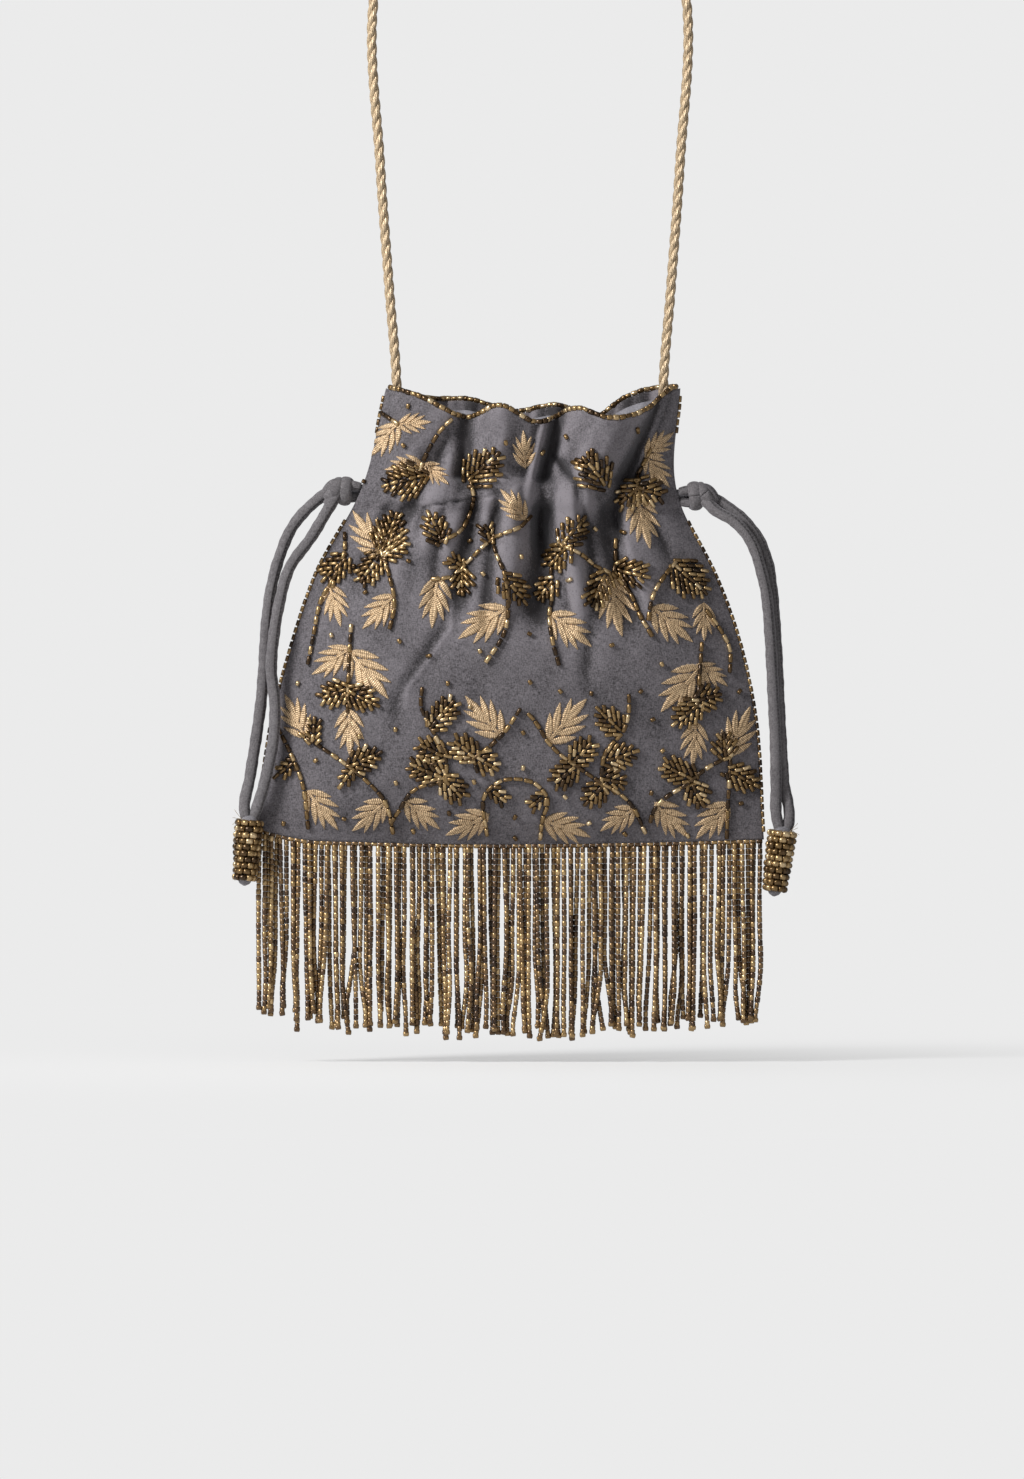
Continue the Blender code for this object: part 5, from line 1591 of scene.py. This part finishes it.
# The tails' points from the knot's middle down
LEFT_OUTER_TAIL = (
    (-0.0040, -0.001, 0.0010), (-0.0092, -0.001, -0.0026), (-0.0202, -0.001, -0.0139),
    (-0.0265, -0.001, -0.0281), (-0.0298, -0.001, -0.0407), (-0.0319, -0.001, -0.0567),
    (-0.0328, -0.001, -0.0722), (-0.0340, -0.001, -0.0878), (-0.0361, -0.002, -0.1037),
    (-0.0386, -0.004, -0.1200), (-0.0407, -0.005, -0.1353), (-0.0398, -0.005, -0.1384))
LEFT_INNER_TAIL = (
    (-0.0018, -0.003, -0.0010), (-0.0056, -0.004, -0.0072), (-0.0126, -0.005, -0.0190),
    (-0.0220, -0.005, -0.0323), (-0.0262, -0.006, -0.0470), (-0.0286, -0.007, -0.0617),
    (-0.0296, -0.007, -0.0743), (-0.0281, -0.0075, -0.0890), (-0.0286, -0.0075, -0.1037),
    (-0.0318, -0.0070, -0.1200), (-0.0364, -0.0052, -0.1353), (-0.0375, -0.0050, -0.1384))
RIGHT_OUTER_TAIL = (
    (0.0040, 0.000, 0.0006), (0.0086, 0.000, -0.0020), (0.0176, -0.001, -0.0085),
    (0.0252, -0.001, -0.0176), (0.0290, -0.001, -0.0269), (0.0311, -0.001, -0.0395),
    (0.0323, -0.001, -0.0542), (0.0332, -0.001, -0.0689), (0.0340, -0.001, -0.0857),
    (0.0349, -0.001, -0.1025), (0.0360, -0.002, -0.1200), (0.0378, -0.0050, -0.1377),
    (0.0368, -0.0054, -0.1408))
RIGHT_INNER_TAIL = (
    (0.0026, -0.0030, -0.0014), (0.0070, -0.0044, -0.0058), (0.0155, -0.006, -0.0110),
    (0.0223, -0.006, -0.0196), (0.0260, -0.006, -0.0300), (0.0286, -0.006, -0.0416),
    (0.0298, -0.006, -0.0542), (0.0307, -0.006, -0.0689), (0.0315, -0.006, -0.0857),
    (0.0323, -0.006, -0.1025), (0.0326, -0.006, -0.1200), (0.0335, -0.0056, -0.1377),
    (0.0346, -0.0056, -0.1408))
# Each knot's middle from the casing's end, its tails, its pull's top from the knot, and the pull's sway
DRAWSTRINGS = {
    Hand.LEFT: ((-0.00775, -0.001, 0.0), LEFT_OUTER_TAIL, LEFT_INNER_TAIL, (-0.0386, -0.0050, -0.1360),
                -0.0024),
    Hand.RIGHT: ((0.00895, -0.003, -0.0021), RIGHT_OUTER_TAIL, RIGHT_INNER_TAIL, (0.0357, -0.0056, -0.1385),
                 -0.0041),
}
# Each turn of cord in a knot: its middle, its axis, its reach in depth and up, and its band's half sizes
KNOT_TURNS = (((-0.0014, 0.0, 0.0002), (1.0, 0.10, 0.12), 0.0036, 0.0046, 0.0030, 0.0017),
              ((0.0032, -0.0004, 0.0006), (1.0, -0.25, 0.85), 0.0034, 0.0046, 0.0027, 0.0018))
# Each short run of cord in a knot: its start, its end, its half width and how far its middle rises
KNOT_RUNS = (((-0.0080, -0.0016, 0.0020), (0.0030, -0.0012, 0.0016), 0.0021, 0.0008),
             ((-0.0080, 0.0014, -0.0022), (0.0030, -0.0012, -0.0022), 0.0021, -0.0004),
             ((0.0010, -0.0020, 0.0036), (0.0078, -0.0014, -0.0020), 0.0023, 0.0016),
             ((0.0008, -0.0016, -0.0016), (0.0068, -0.0036, -0.0056), 0.0022, 0.0006))


@dataclass
class Drawstring:
    """What hangs outside the casing at one end: the knot, its two tails and their beaded pull."""

    form: PouchForm
    hand: Hand
    anchor: tuple[float, float, float]
    outer: Route
    inner: Route
    pull_top: tuple[float, float, float]
    pull_sway: float
    pull_length: float = 0.030
    diameter: float = 0.0046
    wide_share: float = 1.06
    deep_share: float = 0.90
    pull_radius: float = 0.0061
    pull_end_radius: float = 0.0049
    pull_rows: int = 10
    pull_around: int = 10
    pull_bead: BeadShape = BeadShape(8, 0.10, 0.6)
    pull_bead_radius: float = 0.00138
    core_inset: float = 0.0021
    cap_height: float = 0.0022
    step: float = 0.0012
    drawn_span: tuple[float, float] = (0.0150, 0.0030)
    drawn_pair: Stations = ((0.0014, -0.0004), (-0.0015, 0.0008))
    drawn_radii: tuple[float, float] = (0.0016, 0.0014)
    wisp_count: int = 5
    wisp_start: float = 0.0030
    wisp_radius: float = 0.00011
    seed: int = 31

    @property
    def name(self) -> str:
        """The hand's name in small letters."""
        return self.hand.name.lower()

    @property
    def body(self) -> str:
        """The body that these pieces move with."""
        return f"{self.name}_drawstring"

    def placed(self, route: Route) -> Array:
        """A route's points moved from the knot's frame to the pouch's."""
        return np.array(route, float) + np.array(self.anchor)

    def tail(self, part: str, route: Route, finishes: Materials) -> Piece:
        """One tail: a flattened tube of cloth with soft rumples along it.

        Args:
            part: which of the two tails.
            route: its points from the knot down.
            finishes: the materials.

        Returns:
            The mesh object.
        """
        line = resample(self.placed(route), self.step)
        reach = along(line)
        rumple = 1 + 0.035 * np.sin(reach * 520 + len(part)) + 0.03 * np.sin(reach * 1270)
        radius = self.diameter / 2
        name = f"{self.name}_{part}_tail"
        wide, deep = radius * self.wide_share * rumple, radius * self.deep_share / rumple
        piece = Tube(16).piece(f"{name}_cord", line, wide, deep, 0.15 * np.sin(reach * 38))
        settle(piece, self.body, "tube_cloth", finishes["tube"], name)
        return piece

    def knot(self, finishes: Materials) -> None:
        """The knot: a band of cord wrapped upright, a second turn that leans over the tails, and short runs.

        Args:
            finishes: the materials.
        """
        side = self.hand.value
        centre = np.array(self.anchor)
        batch = Batch()
        turn = np.linspace(0, 2 * math.pi, 41)
        for place, axis, wide, tall, band, thick in KNOT_TURNS:
            middle = centre + np.array(place) * (side, 1, 1)
            axis = unit(np.array(axis) * (side, 1, 1))
            deep = unit(np.cross(axis, (0.0, 0.0, 1.0)))
            up = np.cross(deep, axis)
            line = middle + (wide * np.cos(turn))[:, None] * deep + (tall * np.sin(turn))[:, None] * up
            swell = 1 + 0.10 * np.sin(turn * 2 + 0.6)
            batch.carry(Tube(14, tuple(axis)), line, thick * swell, band * swell)
        for start, end, wide, rise in KNOT_RUNS:
            share = np.linspace(0, 1, 14)[:, None]
            line = centre + (np.array(start) * (1 - share) + np.array(end) * share) * (side, 1, 1)
            line[:, 2] += rise * np.sin(math.pi * share[:, 0])
            swell = wide * np.sin(math.pi * (0.10 + 0.80 * share[:, 0])) ** 0.25
            batch.carry(Tube(14), line, swell, swell * 0.92)
        knot = batch.piece(f"{self.name}_wrapped_knot")
        settle(knot, self.body, "tube_cloth", finishes["tube"], f"{self.name}_knot")

    def stub(self, finishes: Materials) -> None:
        """The doubled cord between casing and knot, baked in place and left on no body.

        Args:
            finishes: the materials.
        """
        side = self.hand.value
        x, y, z = self.anchor
        start, end = (x - side * reach for reach in self.drawn_span)
        batch = Batch()
        for rise, depth in self.drawn_pair:
            line = np.stack([np.linspace(start, end, 40), np.full(40, y * 0.5 + depth),
                             np.full(40, z + rise)], axis=1)
            batch.carry(Tube(12), line, *self.drawn_radii)
        piece = batch.piece(f"{self.name}_drawn_cord")
        settle(piece, "", "tube_cloth", finishes["core"])
        self.body
        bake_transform(piece)

    def pull_points(self, reach: Array) -> tuple[Array, Array, Array, Array]:
        """Points down the middle of the pull, and its three directions.

        Args:
            reach: the distances down from its top.

        Returns:
            The points, the way down, the way across and the way towards the front.
        """
        top = np.array(self.anchor) + np.array(self.pull_top)
        down = unit(np.array([self.pull_sway, 0.0, -math.sqrt(self.pull_length ** 2 - self.pull_sway ** 2)]))
        front = np.array([0.0, -1.0, 0.0])
        return top + np.asarray(reach)[..., None] * down, down, np.cross(front, down), front

    def pull(self, finishes: Materials) -> tuple[Piece, Piece]:
        """The pull: rows of beads round a padded core, whose cloth shows at both ends, with thread wisps.

        Args:
            finishes: the materials.

        Returns:
            The beads and the core.
        """
        chance = np.random.default_rng(self.seed + self.hand.value)
        pitch = (self.pull_length - 2 * self.cap_height) / self.pull_rows
        reach = self.cap_height + pitch * (np.arange(self.pull_rows) + 0.5)
        middles, down, beside, front = self.pull_points(reach)
        share = reach / self.pull_length
        taper = self.pull_end_radius - self.pull_radius
        ring = self.pull_radius + taper * share ** 2 - self.pull_bead_radius * 0.85
        batch = Batch()
        for row in range(self.pull_rows):
            count = self.pull_around if row < self.pull_rows - 2 else self.pull_around - 1
            turn = 2 * math.pi * (np.arange(count) + 0.37 * row + chance.uniform(0, 0.2)) / count
            out = np.cos(turn)[:, None] * beside + np.sin(turn)[:, None] * front
            step = np.cross(out, down)
            half = ring[row] * math.tan(math.pi / count) * 0.95
            seat = middles[row] + out * ring[row] * (1 + 0.03 * chance.standard_normal((count, 1)))
            tilt = down * chance.normal(0, 0.00018, (count, 1))
            radii = self.pull_bead_radius * (1 + 0.05 * chance.standard_normal(count))
            tint = np.clip(chance.beta(1.8, 1.4, count), 0, 1)
            starts, ends = seat - step * half - tilt, seat + step * half + tilt
            self.pull_bead.beads(batch, starts, ends, out, radii, tint)
        beads = batch.piece(f"{self.name}_pull_bead_rows")
        settle(beads, self.body, "bronze_beads", finishes["bronze"], f"{self.name}_pull_beads")
        share = np.linspace(0, 1, 34)
        line = self.pull_points(share * self.pull_length)[0]
        bore = self.pull_radius - self.core_inset + taper * share ** 2
        round_ends = np.clip(np.minimum(share, 1 - share) / 0.10, 0, 1)
        width = bore * np.sqrt(np.maximum(1 - (1 - round_ends) ** 2, 0.02)) * (1 + 0.02 * np.sin(share * 60))
        core = Tube(18).piece(f"{self.name}_pull_padding", line, width, width)
        settle(core, self.body, "tube_cloth", finishes["core"], f"{self.name}_pull_core")
        self.wisps(finishes, chance)
        return beads, core

    def wisps(self, finishes: Materials, chance: np.random.Generator) -> None:
        """Loose ends of sewing thread at the pull's top: thin curved hairs.

        Args:
            finishes: the materials.
            chance: the seeded source of their curves.
        """
        batch = Batch()
        top, _, beside, front = self.pull_points(np.array([self.wisp_start]))
        for _ in range(self.wisp_count):
            way = np.array([0.8 + 0.3 * chance.random(), -0.2, chance.uniform(0.2, 1.0)])
            way = self.hand.value * unit(way)
            way[2] = abs(way[2])
            share = np.linspace(0, 1, 12)[:, None]
            reach = chance.uniform(0.0035, 0.0062)
            line = top + self.hand.value * beside * 0.0020 * (1 if beside[0] > 0 else -1) + front * 0.0022
            sag = np.array([0.0, 0.0, -1.0]) * share ** 2 * reach * chance.uniform(-0.3, 0.7)
            batch.carry(Tube(5), line + way * share * reach + sag, self.wisp_radius, self.wisp_radius)
        settle(batch.piece(f"{self.name}_thread_wisps"), self.body, "tube_cloth", finishes["sewing"])

    def build(self, finishes: Materials) -> None:
        """Builds the string's pieces: its tails, knot, drawn cord and pull.

        Args:
            finishes: the materials.
        """
        outer = self.tail("outer", self.outer, finishes)
        inner = self.tail("inner", self.inner, finishes)
        self.knot(finishes)
        self.stub(finishes)
        beads, core = self.pull(finishes)


@dataclass
class Studio:
    """The pale floor, the soft lights and the long-lens camera."""

    frame_height: float = 0.62118
    middle: tuple[float, float] = (-0.0076, -0.3824)
    distance: float = 3.4
    floor_z: float = -0.5185
    backdrop: float = 0.831
    ambient: float = 0.25
    shadow_share: float = 0.60
    shadow_reach: float = 0.20
    floor_light: float = 0.66
    floor_reach: float = 14.0
    aim: tuple[float, float, float] = (0.0, 0.0, -0.36)
    lamps: tuple = (("key", (-1.25, -1.00, 0.62), 0.50, 37.0), ("fill", (1.5, -1.9, 0.0), 1.2, 3.5))

    def camera(self) -> None:
        """Sets the camera: level, straight in front, its frame's height taken from the photograph's scale."""
        data = bpy.data.cameras.new("camera")
        data.sensor_fit = "VERTICAL"
        data.sensor_height = 36.0
        data.lens = data.sensor_height * self.distance / self.frame_height
        data.clip_end = 60.0
        camera = bpy.data.objects.new("camera", data)
        camera.location = (self.middle[0], -self.distance - 0.010, self.middle[1])
        camera.rotation_euler = (math.pi / 2, 0.0, 0.0)
        bpy.context.scene.collection.objects.link(camera)
        bpy.context.scene.camera = camera

    def lamp(self, name: str, place: tuple[float, float, float], size: float, power: float) -> None:
        """One soft square lamp that faces the pouch.

        Args:
            name: the lamp's name.
            place: where it stands.
            size: the length of its side.
            power: its power in watts.
        """
        data = bpy.data.lights.new(name, "AREA")
        data.size = size
        data.energy = power
        lamp = bpy.data.objects.new(name, data)
        lamp.location = place
        lamp.rotation_euler = (Vector(self.aim) - Vector(place)).to_track_quat("-Z", "Y").to_euler()
        bpy.context.scene.collection.objects.link(lamp)

    def world(self) -> None:
        """A soft dim surround for the light, and the pale backdrop wherever the camera sees it."""
        world = bpy.data.worlds.new("studio")
        bpy.context.scene.world = world
        world.use_nodes = True
        tree = world.node_tree
        shown = tree.nodes.new("ShaderNodeLightPath")
        seen = tree.nodes.new("ShaderNodeMath")
        seen.operation = "MAXIMUM"
        tree.links.new(shown.outputs["Is Camera Ray"], seen.inputs[0])
        tree.links.new(shown.outputs["Is Transmission Ray"], seen.inputs[1])
        level = tree.nodes.new("ShaderNodeMapRange")
        level.inputs["To Min"].default_value = self.ambient
        level.inputs["To Max"].default_value = self.backdrop
        tree.links.new(seen.outputs[0], level.inputs["Value"])
        tree.links.new(level.outputs[0], tree.nodes["Background"].inputs["Strength"])
        tree.nodes["Background"].inputs["Color"].default_value = (1.0, 1.0, 1.0, 1.0)

    def floor(self) -> None:
        """A wide pale floor close under the fringe, which shows the shadow near the pouch.

        To the camera it glows as the backdrop does, less the light that its own near patch gives back; the
        patch is a bell over the distance from the pouch.
        """
        mesh = bpy.data.meshes.new("floor")
        reach = self.floor_reach
        corners = ((-reach, -reach), (reach, -reach), (reach, reach), (-reach, reach))
        mesh.from_pydata([(x, y, self.floor_z) for x, y in corners], [], [(0, 1, 2, 3)])
        floor = bpy.data.objects.new("floor", mesh)
        bpy.context.scene.collection.objects.link(floor)
        graph = Graph("pale_floor")
        parts = graph.add("SeparateXYZ", {0: graph.add("TexCoord").outputs["Object"]})
        away = graph.math("ADD", graph.math("MULTIPLY", parts.outputs[0], parts.outputs[0]),
                          graph.math("MULTIPLY", parts.outputs[1], parts.outputs[1]))
        fade = graph.math("POWER", math.e, graph.math("MULTIPLY", away, -1 / self.shadow_reach ** 2))
        patch = graph.math("MULTIPLY", fade, self.shadow_share)
        seen = graph.add("LightPath").outputs["Is Camera Ray"]
        kept = graph.math("SUBTRACT", 1.0, graph.math("MULTIPLY", seen, graph.math("SUBTRACT", 1.0, patch)))
        glow = graph.math("SUBTRACT", self.backdrop, graph.math("MULTIPLY", patch, self.floor_light))
        graph.dress(Base_Color=graph.math("MULTIPLY", kept, 0.80), Roughness=0.9, Specular_IOR_Level=0.0,
                    Emission_Color=(1.0, 1.0, 1.0, 1.0), Emission_Strength=graph.math("MULTIPLY", glow, seen))
        mesh.materials.append(graph.material)

    def build(self) -> None:
        """Sets up the camera, the lamps, the world and the floor."""
        bpy.context.scene.view_settings.view_transform = "Standard"
        self.camera()
        self.world()
        self.floor()
        for lamp in self.lamps:
            self.lamp(*lamp)
        LOG.info("studio ready")


def dress_solids(finishes: Materials) -> None:
    """Gives the solids that stay, inside the casing and the mouth, the finish of their cloth.

    Args:
        finishes: the materials.
    """
    for part, finish in (("casing_cord", "core"), ("strap_tab", "lining")):
        for hand in Hand:
            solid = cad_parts[f"{hand.name.lower()}_{part}"]
            solid.data.materials.clear()
            solid.data.materials.append(finishes[finish])


def main() -> None:
    """Builds the studio and the pouch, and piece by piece."""
    logging.basicConfig(level=logging.INFO, format="%(name)s: %(message)s")
    form = PouchForm()
    finishes = Finishes().build()
    Studio().build()
    Strap().build(finishes)
    for hand, (knot, *hang) in DRAWSTRINGS.items():
        x, z = form.casing_end(hand)
        Drawstring(form, hand, (x + knot[0], knot[1], z + knot[2]), *hang).build(finishes)
    Pouch(form).build(finishes)
    Edging(form).build(finishes)
    Fringe(form).build(finishes)
    Embroidery(form).build(finishes)
    dress_solids(finishes)


if __name__ == "__main__":
    main()
